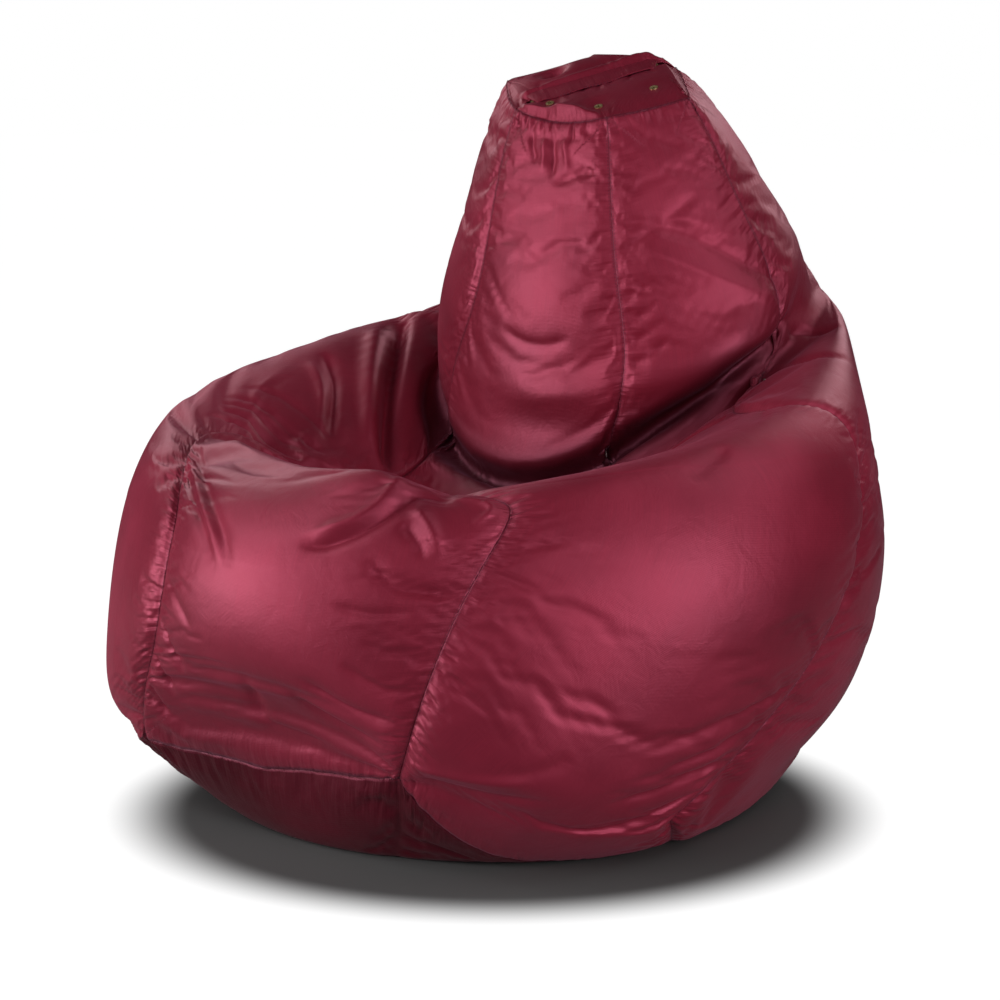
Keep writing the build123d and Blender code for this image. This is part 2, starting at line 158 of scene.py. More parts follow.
def new_material(name):
    """Empty node material, and its tree."""
    material = bpy.data.materials.new(name)
    material.use_nodes = True
    material.node_tree.nodes.clear()
    return material, material.node_tree


def floor_with_painted_shadow():
    """Painted shadow: matt paint, dark for the camera in and round the bag's own shadow. From there
    outwards it glows for the camera alone, and to the bag it throws back the light of a mid grey floor."""
    material, tree = new_material("studio_floor_painted_shadow")
    place = add_node(tree, "TexCoord")
    beside = add_node(tree, "VectorMath", [(0, place.outputs["Object"])], operation="SUBTRACT",
                      in_1=(*painted_shadow_middle, 0.0))
    away = add_node(tree, "VectorMath", [(0, beside.outputs[0])], operation="LENGTH")
    fade = add_node(tree, "MapRange", [("Value", away.outputs["Value"])],
                    interpolation_type="SMOOTHSTEP", in_1=painted_shadow_reach[0], in_2=painted_shadow_reach[1],
                    in_3=0.0, in_4=1.0)
    path = add_node(tree, "LightPath")
    seen = add_node(tree, "Math", [(0, fade.outputs[0]), (1, path.outputs["Is Camera Ray"])],
                    operation="MULTIPLY")
    tone = add_node(tree, "MapRange", [("Value", path.outputs["Is Camera Ray"])],
                    in_1=0.0, in_2=1.0, in_3=floor_bounce, in_4=painted_shadow_tone)
    matt = add_node(tree, "BsdfDiffuse", [("Color", tone.outputs[0])])
    glow = add_node(tree, "Emission", [("Strength", seen.outputs[0])])
    both = add_node(tree, "AddShader", [(0, matt.outputs[0]), (1, glow.outputs[0])])
    add_node(tree, "OutputMaterial", [("Surface", both.outputs[0])])
    return material


floor = object_from("floor", [(-floor_half, -floor_half, 0), (floor_half, -floor_half, 0),
                              (floor_half, floor_half, 0), (-floor_half, floor_half, 0)], [(0, 1, 2, 3)])
floor.data.materials.append(floor_with_painted_shadow())

# ---------------------------------------------------------------- the filled bag's form
# Six cloth gores run from a hexagonal base panel to a small hexagonal top. Rings from the
# floor up give the filled bag's form, in millimetres, sat into so that it has a hollow seat:
#   x = w1 sin a + w2 sin 2a + w3 sin 3a
#   y = d0 - d1 cos a + d2 cos 2a + d3 cos 3a
#   z = h0 + h1 cos a + h2 cos 2a + h3 cos 3a
# at the angle a round the bag, and "turn" is where the first seam crosses the ring, in degrees.
RINGS = (
    # w1   w2   w3     d0   d1   d2   d3     h0    h1   h2   h3   turn
    (300,   0,   0,    15, 322,   0,   0,     0,    0,   0,   0,  -40),   # floor
    (390, -10,  15,   -45, 390,  45,  25,    60,   40,  20,  24,  -35),   # base edge
    (425, -20,  -5,   -30, 445,  30,  15,   175,   35,  10,  10,  -25),
    (445,   0, -25,    15, 450,  -5,   5,   320,   25,   0,  -5,  -21),   # belly
    (415,  35, -15,    70, 410, -30,  -5,   440,  -20, -15, -10,  -26),
    (355,  25,   5,   125, 360, -25,   5,   490,  -95, -20,   0,  -43),   # rim of the seat
    (262, -15,   0,   172, 292, -30,   0,   480, -170, -20,  -5,  -42),
    (250,   5,   0,   240, 185, -15,  -5,   530, -178, -12,   0,  -40),   # waist
    (242,  15,   0,   240, 152, -10,   0,   604, -132,   0,   0,  -33),
    (196,   0,   0,   210, 138,  -2,   0,   703,  -95,   5,   0,  -26),
    (139,   0,   0,   201,  82,   0,   0,   825,  -33,   0,   0,  -30),   # top edge
)
FLOOR, BASE, TOP = 1, 2, 11
floor_middle, top_middle = 63.0, (188.0, 850.0)
base_roundness = 1.8
base_squareness, base_square_reach = 0.5, 0.5
top_squareness, top_square_reach = 1.0, 0.8
floor_point = np.array([0, 0, 0, floor_middle, 0, 0, 0, 0, 0, 0, 0], float)
top_point = np.array([0, 0, 0, top_middle[0], 0, 0, 0, top_middle[1], 0, 0, 0], float)
rings = np.array(RINGS, float)
SIZES = np.vstack([floor_point, rings[:, :11], top_point])
TURNS = np.radians(np.concatenate([rings[:1, 11], rings[:, 11], rings[-1:, 11]]))


def natural_spline(values, at):
    """Cubic through one value per ring, with no bend at its ends: each piece is a straight
    blend of its two values and of their second derivatives, which one linear system gives."""
    count = len(values)
    bends = np.zeros_like(values)
    middle = 4 * np.eye(count - 2) + np.eye(count - 2, k=1) + np.eye(count - 2, k=-1)
    bends[1:-1] = np.linalg.solve(middle, 6 * np.diff(values, 2, axis=0))
    ring = np.clip(np.floor(at).astype(int), 0, count - 2)
    up = np.asarray(at - ring).reshape(np.shape(at) + (1,) * (values.ndim - 1))
    down = 1 - up
    return (down * values[ring] + up * values[ring + 1]
            + ((down**3 - down) * bends[ring] + (up**3 - up) * bends[ring + 1]) / 6)


def round_form(angle, ring):
    """Point on a ring at an angle: sine and cosine sums with sizes splined from ring to ring."""
    s = natural_spline(SIZES, ring)
    x = sum(s[..., k] * np.sin((k + 1) * angle) for k in range(3))
    y = s[..., 3] - s[..., 4] * np.cos(angle) + sum(
        s[..., 3 + k] * np.cos(k * angle) for k in (2, 3))
    z = sum(s[..., 7 + k] * np.cos(k * angle) for k in range(4))
    return np.stack([x, y, z], axis=-1)


def drawn_form(gore, ring):
    """The round form, drawn towards the straight line between two seams near the base edge
    and the top edge by a bell curve of the distance in rings."""
    turn = natural_spline(TURNS, ring)
    seam = np.floor(gore + 1e-9)
    sixth = math.pi / 3
    left = round_form(turn + seam * sixth, ring)
    right = round_form(turn + (seam + 1) * sixth, ring)
    square = (base_squareness * np.exp(-(((ring - BASE) / base_square_reach) ** 2))
              + top_squareness * np.exp(-(((ring - TOP) / top_square_reach) ** 2)))[..., None]
    share = (gore - seam)[..., None]
    return (1 - square) * round_form(turn + gore * sixth, ring) + square * (left + (right - left) * share)


def form_about_seat(gore, ring):
    """Drawn form above the base edge; below it straight in to the floor ring, with the height
    a power of the way out, and then flat to the floor's middle. Millimetres."""
    gore, ring = np.broadcast_arrays(np.asarray(gore, float), np.asarray(ring, float))
    edge = drawn_form(gore, np.maximum(ring, BASE))
    floor = drawn_form(gore, np.full(ring.shape, float(FLOOR)))
    out = np.clip(ring - FLOOR, 0, 1)[..., None]
    inwards = np.clip(FLOOR - ring, 0, 1)[..., None]
    point = floor + (edge - floor) * out
    point[..., 2] = edge[..., 2] * out[..., 0] ** base_roundness
    return point + (np.array([0, floor_middle, 0]) - point) * inwards


def middle_of_form():
    """Middle of the bag's outline on the floor, where the frame has its origin."""
    gore, ring = np.meshgrid(np.linspace(0, 6, 25), np.linspace(BASE, TOP, 91))
    point = form_about_seat(gore, ring).reshape(-1, 3)
    return (point.min(axis=0) + point.max(axis=0)) / 2 * np.array([1, 1, 0])


MIDDLE = middle_of_form()


def bag_form(gore, ring):
    """Point of the filled bag in the frame, in metres: whole numbers of gore are seams."""
    return (form_about_seat(gore, ring) - MIDDLE) / 1000


def unit(vectors):
    return vectors / np.linalg.norm(vectors, axis=-1, keepdims=True)


def normals_of(grid, closed=True):
    """Unit normals of a grid of points (rows up, columns round), out of the bag: the cross
    product of the differences across and along."""
    if closed:
        across = np.roll(grid, -1, axis=1) - np.roll(grid, 1, axis=1)
    else:
        across = np.gradient(grid, axis=1)
    return unit(np.cross(across, np.gradient(grid, axis=0)))


# ---------------------------------------------------------------- the cover's cloth
# Coated nylon cut into gores and sewn, a little gathered by its seams, over a filling that has
# been sat into. Wide rolls are laid on the form, a cloth simulation with pressure
# inside and shrinking seams swells and puckers it, and sharp creases are pressed in after it.
columns_per_gore = 28          # of the simulated cloth, closer together at the seams
rows_below, rows_above = 14, 208   # under and over the base edge
seam_closeness = 0.5
seam_sink, seam_sink_width = 0.0026, 0.0055
cloth_thickness = 0.0012

steps = np.arange(columns_per_gore) / columns_per_gore
within = steps - seam_closeness * np.sin(2 * np.pi * steps) / (2 * np.pi)
gore_of_columns = np.concatenate([k + within for k in range(6)])


def rows_by_length(first, last, count):
    """Rings of the rows between two rings, as far apart as the longest column makes them."""
    fine = np.linspace(first, last, 801)
    points = bag_form(np.arange(0, 6, 0.25)[:, None], fine[None, :])
    length = np.linalg.norm(np.diff(points, axis=1), axis=-1).max(axis=0)
    length = np.concatenate([[0], np.cumsum(length)])
    return np.interp(np.linspace(0, length[-1], count + 1), length, fine)


ring_of_rows = np.concatenate([rows_by_length(FLOOR, BASE, rows_below)[:-1],
                               rows_by_length(BASE, TOP, rows_above)])
base_row = rows_below

# Where the base panel's seam runs, in rings: it hangs low between the two front corners, and
# at the right it goes under the bag.
seam_gores = (0.0, 0.15, 0.5, 0.85, 1.0, 1.25, 1.5, 2.0, 2.5, 2.8, 3.0, 6.0)
seam_rings = (2.0, 1.92, 1.84, 1.93, 2.0, 1.62, 1.25, 1.15, 1.45, 1.85, 2.0, 2.0)


def with_low_seam(gores, rows):
    """Rings of a grid whose row for the base edge follows the seam's ring, with the rows
    above and below it spread between it and the top, and it and the floor."""
    seam = np.interp(gores, seam_gores, seam_rings)[None, :]
    rows = rows[:, None]
    above = TOP - (TOP - rows) * (TOP - seam) / (TOP - BASE)
    below = FLOOR + (rows - FLOOR) * (seam - FLOOR) / (BASE - FLOOR)
    return np.where(rows >= BASE, above, below)


gore_grid = np.broadcast_to(gore_of_columns, (len(ring_of_rows), len(gore_of_columns)))
ring_grid = with_low_seam(gore_of_columns, ring_of_rows)
form = bag_form(gore_grid, ring_grid)
outwards = normals_of(form)


def seam_distance(gore, ring):
    """Distance in metres from the nearest seam: share of a gore times its width there."""
    width = np.linalg.norm(bag_form(np.floor(gore) + 0.51, ring)
                           - bag_form(np.floor(gore) + 0.49, ring), axis=-1) / 0.02
    return np.abs(gore - np.round(gore)) * width


from_seam = seam_distance(gore_grid, ring_grid)

# Rolls and creases: how far they stand out (less than 0: sink in) and their half width in
# millimetres, and the points that they run through, as places between seams and rings. The
# longest is the fold at the waist, under the backrest, from one hip round to the other.
WAIST = ((5.30, 8.05), (5.60, 8.08), (5.90, 8.10), (6.30, 8.15), (6.62, 8.20), (6.83, 8.27),
         (7.00, 8.36), (7.17, 8.50), (7.40, 8.58), (7.62, 8.62), (7.90, 8.45), (8.20, 8.30))
ROLLS = (
    (-19, 13, ((5.45, 8.05), (5.70, 8.08)) + WAIST[2:10]),
    (-8, 12, WAIST[8:] + ((8.50, 8.20),)),
    (-8, 12, ((4.80, 8.05), (5.20, 8.08), (5.50, 8.10))),
    (-8, 12, ((3.30, 8.10), (3.62, 8.05), (4.00, 8.15), (4.50, 8.05))),          # rear of the waist
    (12, 30, ((0.08, 5.15), (0.30, 5.15), (0.55, 5.05), (0.80, 4.95))),          # under the seat's lip
    (8, 25, ((0.30, 8.95), (1.10, 8.95), (1.90, 8.95))),                         # foot of the backrest
    (5, 16, ((1.15, 7.30), (1.65, 7.25), (2.10, 7.05))),                         # roll over the belly
    (-16, 11, ((5.09, 6.25), (5.28, 6.63), (5.51, 6.95), (5.77, 7.17), (5.93, 7.25))),   # hollow's wall
    (8, 12, ((5.18, 6.15), (5.36, 6.50), (5.58, 6.80), (5.82, 7.00))),
    (-4, 13, ((3.30, 3.30), (3.52, 3.60), (3.74, 3.40))),                        # rear
    (-4, 13, ((4.25, 2.90), (4.55, 3.10), (4.80, 2.85))),
)
LIFTS = (                                                                        # straight up
    (30, 26, ((0.08, 5.86), (0.30, 5.76), (0.50, 5.58), (0.62, 5.38), (0.76, 5.22), (0.90, 5.15))),   # lip
    (15, 24, ((0.46, 5.60), (0.60, 5.42), (0.74, 5.24))),
    (-18, 30, ((5.84, 6.15), (5.96, 6.30), (6.06, 6.55), (6.10, 6.85))),
)
CREASES = (
    (-14, 6, WAIST[1:10]),
    (-8, 5, ((7.30, 8.56), (7.62, 8.62), (7.90, 8.47), (8.10, 8.38))),
    (-9, 7, ((5.42, 6.11), (5.53, 6.39), (5.65, 6.55), (5.83, 6.68))),           # hollow's wall
    (5, 6, ((5.49, 6.11), (5.60, 6.36), (5.71, 6.50), (5.86, 6.61))),
    (-3.0, 4.5, ((5.86, 5.62), (5.94, 6.05), (5.99, 6.40))),
    (-3.5, 4.5, ((5.81, 5.70), (5.91, 6.16), (5.98, 6.51))),
    (-3.0, 4.0, ((5.76, 5.68), (5.87, 6.22), (5.95, 6.58))),
    (-3.5, 4.5, ((5.72, 5.71), (5.84, 6.29), (5.92, 6.68))),
    (-3.0, 4.5, ((5.67, 5.79), (5.76, 6.37), (5.84, 6.67))),
    (-8, 7, ((0.55, 4.30), (0.62, 4.33), (0.70, 4.55), (0.77, 4.85), (0.83, 5.05), (0.90, 5.02))),
    (7, 9, ((0.56, 4.48), (0.66, 4.62), (0.75, 4.95), (0.80, 5.20))),            # right of the lip
    (6, 7, ((0.80, 4.85), (0.84, 4.55), (0.90, 4.20))),
    (-5, 6, ((0.78, 4.60), (0.82, 4.40), (0.87, 4.15))),
    (4, 5, ((0.88, 5.10), (0.94, 4.98), (0.96, 4.75), (0.93, 4.55))),
    (-5, 6, ((0.74, 4.15), (0.80, 3.98), (0.87, 3.88), (0.99, 3.90))),
    (-3, 5, ((0.70, 3.72), (0.80, 3.68), (0.90, 3.72))),
    (-5, 7, ((0.02, 5.05), (0.10, 4.80), (0.18, 4.45), (0.28, 3.97))),           # left of the lip
    (-5, 7, ((0.08, 5.35), (0.17, 5.00), (0.26, 4.50), (0.35, 3.95))),
    (4, 6, ((0.05, 5.20), (0.14, 4.88), (0.22, 4.45), (0.31, 3.98))),
    (-4, 5, ((0.02, 3.35), (0.12, 3.05), (0.20, 2.75))),                         # front gore, low left
    (-4, 5, ((0.02, 2.95), (0.10, 2.70), (0.17, 2.45))),
    (-4, 5, ((0.03, 2.60), (0.09, 2.42), (0.14, 2.25))),
    (-3, 6, ((0.00, 3.75), (0.12, 3.55), (0.22, 3.30))),
    (-5, 9, ((0.44, 2.90), (0.50, 2.35), (0.62, 2.20), (0.78, 2.15))),           # front gore, low
    (-6, 9, ((0.60, 2.75), (0.75, 2.50), (0.93, 2.45))),
    (-5, 7, ((0.64, 3.00), (0.80, 2.80), (0.95, 2.78))),
    (-4, 6, ((0.76, 3.25), (0.88, 3.10), (0.98, 3.12))),
    (-3, 5, ((0.80, 3.45), (0.89, 3.40), (0.98, 3.38))),
    (5, 8, ((1.02, 2.30), (1.20, 2.45), (1.40, 2.62))),                          # right gore, low
    (-5, 8, ((1.05, 2.15), (1.25, 2.28), (1.50, 2.45))),
    (-5, 6, ((1.66, 2.92), (1.80, 3.02), (1.97, 3.20))),
    (-5, 6, ((1.72, 2.70), (1.85, 2.80), (1.97, 2.95))),
    (-5, 7, ((1.66, 2.45), (1.82, 2.55), (1.97, 2.72))),
    (-5, 7, ((1.60, 2.05), (1.75, 2.10), (1.93, 2.35))),
    (-3, 8, ((1.20, 2.50), (1.38, 2.70), (1.45, 2.85))),
    (-4, 10, ((1.38, 4.80), (1.45, 5.00), (1.55, 5.25))),
    (-5, 6, ((1.55, 8.20), (1.80, 7.95), (2.05, 7.45), (2.25, 6.90), (2.38, 6.20), (2.42, 5.60))),   # hip
    (-5, 6, ((2.20, 7.85), (2.40, 7.30), (2.52, 6.80), (2.66, 6.16))),
    (-3, 7, ((0.30, 9.52), (0.45, 9.42), (0.60, 9.40), (0.72, 9.46))),           # backrest
    (-4, 6, ((0.55, 10.50), (0.75, 10.58), (0.88, 10.60))),
    (-4, 4, ((0.28, 10.85), (0.32, 10.75), (0.36, 10.65))),
    (-5, 5, ((0.50, 10.86), (0.52, 10.70), (0.53, 10.55))),
    (3, 4, ((0.42, 10.85), (0.44, 10.72), (0.45, 10.60))),
    (3, 4, ((0.62, 10.86), (0.64, 10.73), (0.66, 10.60))),
    (-5, 11, ((1.22, 10.25), (1.53, 9.98), (1.79, 9.56), (2.10, 8.90))),
    (4, 12, ((1.16, 10.05), (1.45, 9.78), (1.72, 9.36), (1.95, 8.95))),
    (-4, 8, ((1.03, 10.05), (1.34, 10.14), (1.67, 10.22))),
    (-3, 5, ((1.02, 9.70), (1.10, 9.74), (1.19, 9.78))),
    (-3, 5, ((1.02, 9.52), (1.12, 9.56), (1.22, 9.62))),
    (-3, 5, ((1.02, 9.33), (1.12, 9.38), (1.24, 9.46))),
    (-3, 5, ((1.02, 9.12), (1.12, 9.18), (1.24, 9.28))),
    (-5, 10, ((2.70, 7.40), (3.05, 7.75), (3.40, 7.70))),                        # rear
    (-5, 10, ((4.30, 7.20), (4.62, 7.45), (4.95, 7.20))),
)


def along_path(places, count):
    """Points spread along a smooth curve through places between seams and rings."""
    places = np.array(places)
    at = np.arange(len(places), dtype=float)
    return natural_spline(places, np.linspace(0, at[-1], count) - 1e-9 * np.linspace(0, 1, count))


def fold_height(points, folds, sharpness):
    """Height of each fold times exp(-(distance / half width)^sharpness) of the distance to the
    fold's line, let in and out along it by half a sine wave. Where folds cross, the highest
    and the deepest hold."""
    up, down = np.zeros(points.shape[:2]), np.zeros(points.shape[:2])
    for tall, half_width, places in folds:
        path = along_path(places, 20 * len(places))
        line = bag_form(path[:, 0], path[:, 1])
        reach = 3 * half_width / 1000
        low, high = line.min(axis=0) - reach, line.max(axis=0) + reach
        near = np.all((points > low) & (points < high), axis=-1)
        gap = np.linalg.norm(points[near][:, None, :] - line[None], axis=-1)
        share = gap.argmin(axis=1) / (len(line) - 1)
        taper = np.minimum(1, 1.7 * np.sin(np.pi * np.clip(share, 0.01, 0.99))) ** 0.8
        height = tall / 1000 * taper * np.exp(-((gap.min(axis=1) * 1000 / half_width) ** sharpness))
        up[near] = np.maximum(up[near], height)
        down[near] = np.minimum(down[near], height)
    return up + down


# Cloth is gathered into the top's seam, which sags between its corners.
top_sag = (0.013, 0.003, 0.002, 0.002, 0.002, 0.004)
share_of_gore = gore_grid - np.floor(gore_grid)
near_top = np.exp(-(((TOP - ring_grid) / 0.30) ** 2))
sag = np.array(top_sag)[np.floor(gore_grid).astype(int)] * np.sin(np.pi * share_of_gore) ** 0.8

laid = form + fold_height(form, ROLLS, 2.0)[..., None] * outwards
laid[..., 2] += fold_height(form, LIFTS, 2.0)
laid -= (seam_sink * np.exp(-((from_seam / seam_sink_width) ** 2))
         * np.clip((ring_grid - FLOOR) / 0.3, 0, 1))[..., None] * outwards
corner_lift = np.interp(gore_grid, range(7), np.array([7, 0, -6, -2, 7, 9, 7]) / 1000)
laid[..., 2] += corner_lift * near_top
laid += (sag * near_top)[..., None] * unit(0.4 * outwards + np.array([0.0, 0.0, -1.0]))


def grid_faces(rows, columns, closed):
    """Four-sided faces of a grid of points, closed round its columns or open."""
    index = np.arange(rows * columns).reshape(rows, columns)
    if closed:
        index = np.hstack([index, index[:, :1]])
    return np.stack([index[:-1, :-1], index[:-1, 1:], index[1:, 1:], index[1:, :-1]], -1).reshape(-1, 4)


def paint_group(thing, name, weights):
    """Vertex group with the weights in fiftieths."""
    group = thing.vertex_groups.new(name=name)
    level = np.round(np.clip(weights, 0, 1).ravel() * 50).astype(int)
    for step in np.unique(level):
        group.add(np.flatnonzero(level == step).tolist(), step / 50, "REPLACE")


# The cloth is held to the filling by weak springs, and fast at the floor and the top edge.
# Seams draw in along their length, most where the bag is widest, and the cloth between them
# is a little long.
hold = 0.14
seam_draw = np.interp(ring_of_rows, (1.0, 2.0, 3.0, 4.5, 6.0, 8.0, 9.0, 10.6, 11.0),
                      (0.02, 0.05, 0.055, 0.045, 0.03, 0.03, 0.018, 0.022, 0.03))[:, None]
cloth_excess = np.interp(ring_of_rows, (1.0, 2.0, 4.0, 6.0, 8.0, 9.0, 11.0),
                         (0.0, 0.006, 0.006, 0.008, 0.008, 0.001, 0.001))[:, None]
seam_band = 0.009
frames = 20
most_move = 0.024


def simulate(points):
    """The cloth after a short run with pressure inside and no gravity, in which no point
    moves more than a few centimetres."""
    rows, columns = points.shape[:2]
    cloth = object_from("cloth_at_rest", points, grid_faces(rows, columns, True))
    held = np.full(ring_grid.shape, hold)
    held = np.maximum(held, np.clip(1 - (ring_grid - FLOOR) / 0.25, 0, 1))
    held = np.maximum(held, np.exp(-(((ring_of_rows[:, None] - BASE) / 0.05) ** 2)) * 0.5)
    held = np.maximum(held, np.clip((ring_grid - TOP + 0.04) / 0.03, 0, 1))
    paint_group(cloth, "held", held)
    at_seam = np.exp(-((from_seam / seam_band) ** 2))
    draw = seam_draw * at_seam - cloth_excess * (1 - at_seam)
    paint_group(cloth, "draw", (draw - draw.min()) / (draw.max() - draw.min()))
    modifier = cloth.modifiers.new("cloth", "CLOTH")
    settings = modifier.settings
    settings.quality = 6
    settings.mass = 0.3
    settings.tension_stiffness = settings.compression_stiffness = 15
    settings.shear_stiffness = 5
    settings.bending_stiffness = 0.25
    settings.tension_damping = settings.compression_damping = settings.shear_damping = 5
    settings.bending_damping = 0.5
    settings.air_damping = 2
    settings.use_pressure = True
    settings.uniform_pressure_force = 1.4
    settings.vertex_group_mass = "held"
    settings.pin_stiffness = 1
    settings.vertex_group_shrink = "draw"
    settings.shrink_max = float(draw.max())
    settings.shrink_min = float(draw.min())
    settings.effector_weights.gravity = 0.0
    modifier.collision_settings.use_collision = False
    modifier.point_cache.frame_start, modifier.point_cache.frame_end = 1, frames
    scene.frame_start, scene.frame_end = 1, frames
    for frame_number in range(1, frames + 1):
        scene.frame_set(frame_number)
    settled = cloth.evaluated_get(bpy.context.evaluated_depsgraph_get())
    moved = np.empty(points.size, np.float32)
    settled.data.vertices.foreach_get("co", moved)
    bpy.data.objects.remove(cloth)
    scene.frame_set(1)
    way = moved.reshape(points.shape).astype(float) - points
    far = np.linalg.norm(way, axis=-1, keepdims=True)
    return points + way * np.minimum(1, most_move / np.maximum(far, 1e-9))


cloth = simulate(laid)


def twice_as_fine(grid, closed):
    """Grid with a point added between each two along its first axis, on the cubic through
    the four nearest: 9/16 of the two beside it less 1/16 of the next two."""
    if closed:
        before, after = np.roll(grid, 1, axis=0), np.roll(grid, -1, axis=0)
        beyond = np.roll(grid, -2, axis=0)
        between = (9 * (grid + after) - before - beyond) / 16
    else:
        ends = np.concatenate([[2 * grid[0] - grid[1]], grid, [2 * grid[-1] - grid[-2]]])
        between = (9 * (ends[1:-2] + ends[2:-1]) - ends[:-3] - ends[3:]) / 16
    count = len(grid) + len(between)
    fine = np.empty((count,) + grid.shape[1:])
    fine[0::2], fine[1::2] = grid, between
    return fine


def refined(grid):
    """Four times as fine round the bag and twice as fine along it."""
    across = twice_as_fine(twice_as_fine(grid.swapaxes(0, 1), True), True)
    return twice_as_fine(across.swapaxes(0, 1), False)


columns = 4 * columns_per_gore
fine_within = twice_as_fine(twice_as_fine(np.append(within, 1.0)[:, None], False), False)[:-1, 0]
fine_gores = np.concatenate([number + fine_within for number in range(6)])
fine_rings = twice_as_fine(ring_of_rows[base_row:, None], False)[:, 0]
fine_form = bag_form(fine_gores[None, :], with_low_seam(fine_gores, fine_rings))
# how deep in the shade of the waist fold each point lies, from 0 to nearly 1: painted shade, which darkens
# the cloth's colour there
painted_shade_half_width = 26
shade = 900 * fold_height(fine_form, ((1, painted_shade_half_width, WAIST),), 1.8)
cover = refined(cloth[base_row:])
cover += fold_height(fine_form, CREASES, 1.4)[..., None] * normals_of(cover)
base_turn_up = refined(cloth[:base_row + 1])
base_turn_up[-1] = cover[0]


def leaf_puckers(gap, along, draw, spacing, reach, depth, strength=lambda place: 1.0):
    """Height of the creases that start at a seam and run square to it, a few centimetres
    apart: each is -depth sqrt(t) (1 - t) exp(-(offset / width)^2) with t the share of its
    length from the seam, between two low ridges, and it widens as it runs out."""
    height = np.zeros_like(gap)
    place = along.min() + draw.uniform(0.2, 1.0) * spacing[0]
    while place < along.max():
        length = reach[0] + (reach[1] - reach[0]) * draw.uniform() ** 1.6
        size = depth * draw.uniform(0.35, 1.0) * strength(place) * min(1.0, length / reach[1] + 0.35)
        width = draw.uniform(0.0028, 0.0048)
        lean = draw.uniform(-0.45, 0.45)
        share = np.clip(gap / length, 0, 1)
        near = (share < 1) & (np.abs(along - place) < 0.05)
        t = share[near]
        offset = (along[near] - place - lean * gap[near]) / (width * (0.5 + 1.0 * t))
        bell = np.exp(-(offset ** 2)) - 0.32 * np.exp(-((offset / 2.1) ** 2))
        height[near] -= 2.6 * size * np.sqrt(t) * (1 - t) * bell
        place += draw.uniform(*spacing)
    return height


front_pucker, top_pucker = 0.0050, 0.0022      # of the front gore at the top, and of the others


def gore_with_puckers(number):
    """Grid of one gore's points with puckers along its four seams, and for each point its
    distance from the gore's middle line, along the gore, from the nearest seam and along
    that seam, in metres."""
    grid = np.concatenate([cover, cover[:, :1]], axis=1)[:, number * columns:(number + 1) * columns + 1]
    across = np.linalg.norm(np.diff(grid, axis=1), axis=-1)
    across = np.concatenate([np.zeros((len(grid), 1)), np.cumsum(across, axis=1)], axis=1)
    step = np.linalg.norm(np.diff(grid, axis=0), axis=-1).mean(axis=1)
    rows_along = np.concatenate([[0], np.cumsum(step)])
    along = rows_along[:, None] + np.zeros_like(across)
    width, length = across[:, -1:], rows_along[-1]
    gaps = np.stack([across, width - across, along, length - along])
    ways = np.stack([along, along + 0.13, across - width / 2, across - width / 2 + 0.31])
    nearest = gaps.argmin(axis=0)[None]
    from_edge = np.take_along_axis(gaps, nearest, 0)[0]
    along_edge = np.take_along_axis(ways, nearest, 0)[0]

    def side_strength(place):
        return np.interp(np.interp(place, rows_along, fine_rings), (2, 2.6, 5, 6, 8.4, 9.2, 11),
                         (1, 1, 0.8, 0.45, 0.4, 0.55, 0.7))

    height = np.zeros_like(across)
    for edge in (0, 1):
        # both gores at a seam get their long puckers at the same places
        draw = np.random.default_rng(10 + (number + edge) % 6)
        height += leaf_puckers(gaps[edge], along, draw, (0.014, 0.036), (0.020, 0.062), 0.0036, side_strength)
        draw = np.random.default_rng(40 + 2 * number + edge)
        height += leaf_puckers(gaps[edge], along, draw, (0.009, 0.024), (0.010, 0.024), 0.0018, side_strength)
    draw = np.random.default_rng(60 + number)
    height += leaf_puckers(gaps[2], ways[2], draw, (0.010, 0.026), (0.012, 0.034), 0.0024)
    tall = front_pucker if number == 0 else top_pucker
    height += leaf_puckers(gaps[3], ways[2], draw, (0.010, 0.022), (0.018, 0.034), tall)
    height *= np.clip(from_edge / 0.003, 0, 1)
    grid = grid + height[..., None] * normals_of(grid, closed=False)
    return grid, across - width / 2, along, from_edge, along_edge


def set_uv(thing, name, pairs):
    """UV map of a grid mesh from one pair of values for each point."""
    layer = thing.data.uv_layers.new(name=name)
    index = np.empty(len(thing.data.loops), np.int32)
    thing.data.loops.foreach_get("vertex_index", index)
    layer.data.foreach_set("uv", pairs.reshape(-1, 2)[index].astype(np.float32).ravel())


def set_values(thing, name, values):
    """Attribute of a mesh from one value for each point."""
    layer = thing.data.attributes.new(name, "FLOAT", "POINT")
    layer.data.foreach_set("value", values.astype(np.float32).ravel())


def give_thickness(thing, thickness):
    """Closes a sheet into a thin wall on its inner side."""
    wall = thing.modifiers.new("thickness", "SOLIDIFY")
    wall.thickness = thickness
    wall.offset = -1
    wall.use_even_offset = False


# Coated nylon cloth, woven and calendered: a dark wine dye in the yarn, a satin gloss that
# takes the yarn's own tint, and a weave and stitches that can be felt more than seen.
yarn_spacing = 0.0016        # drawn at four times the real 0.4 mm, so that it shows
stitch_length, stitch_width, stitch_line = 0.0042, 0.0009, 0.0022
wine, wine_deep, wine_light = "#7A1A2C", "#6B1525", "#892236"
thread_tone = "#5E1D2B"


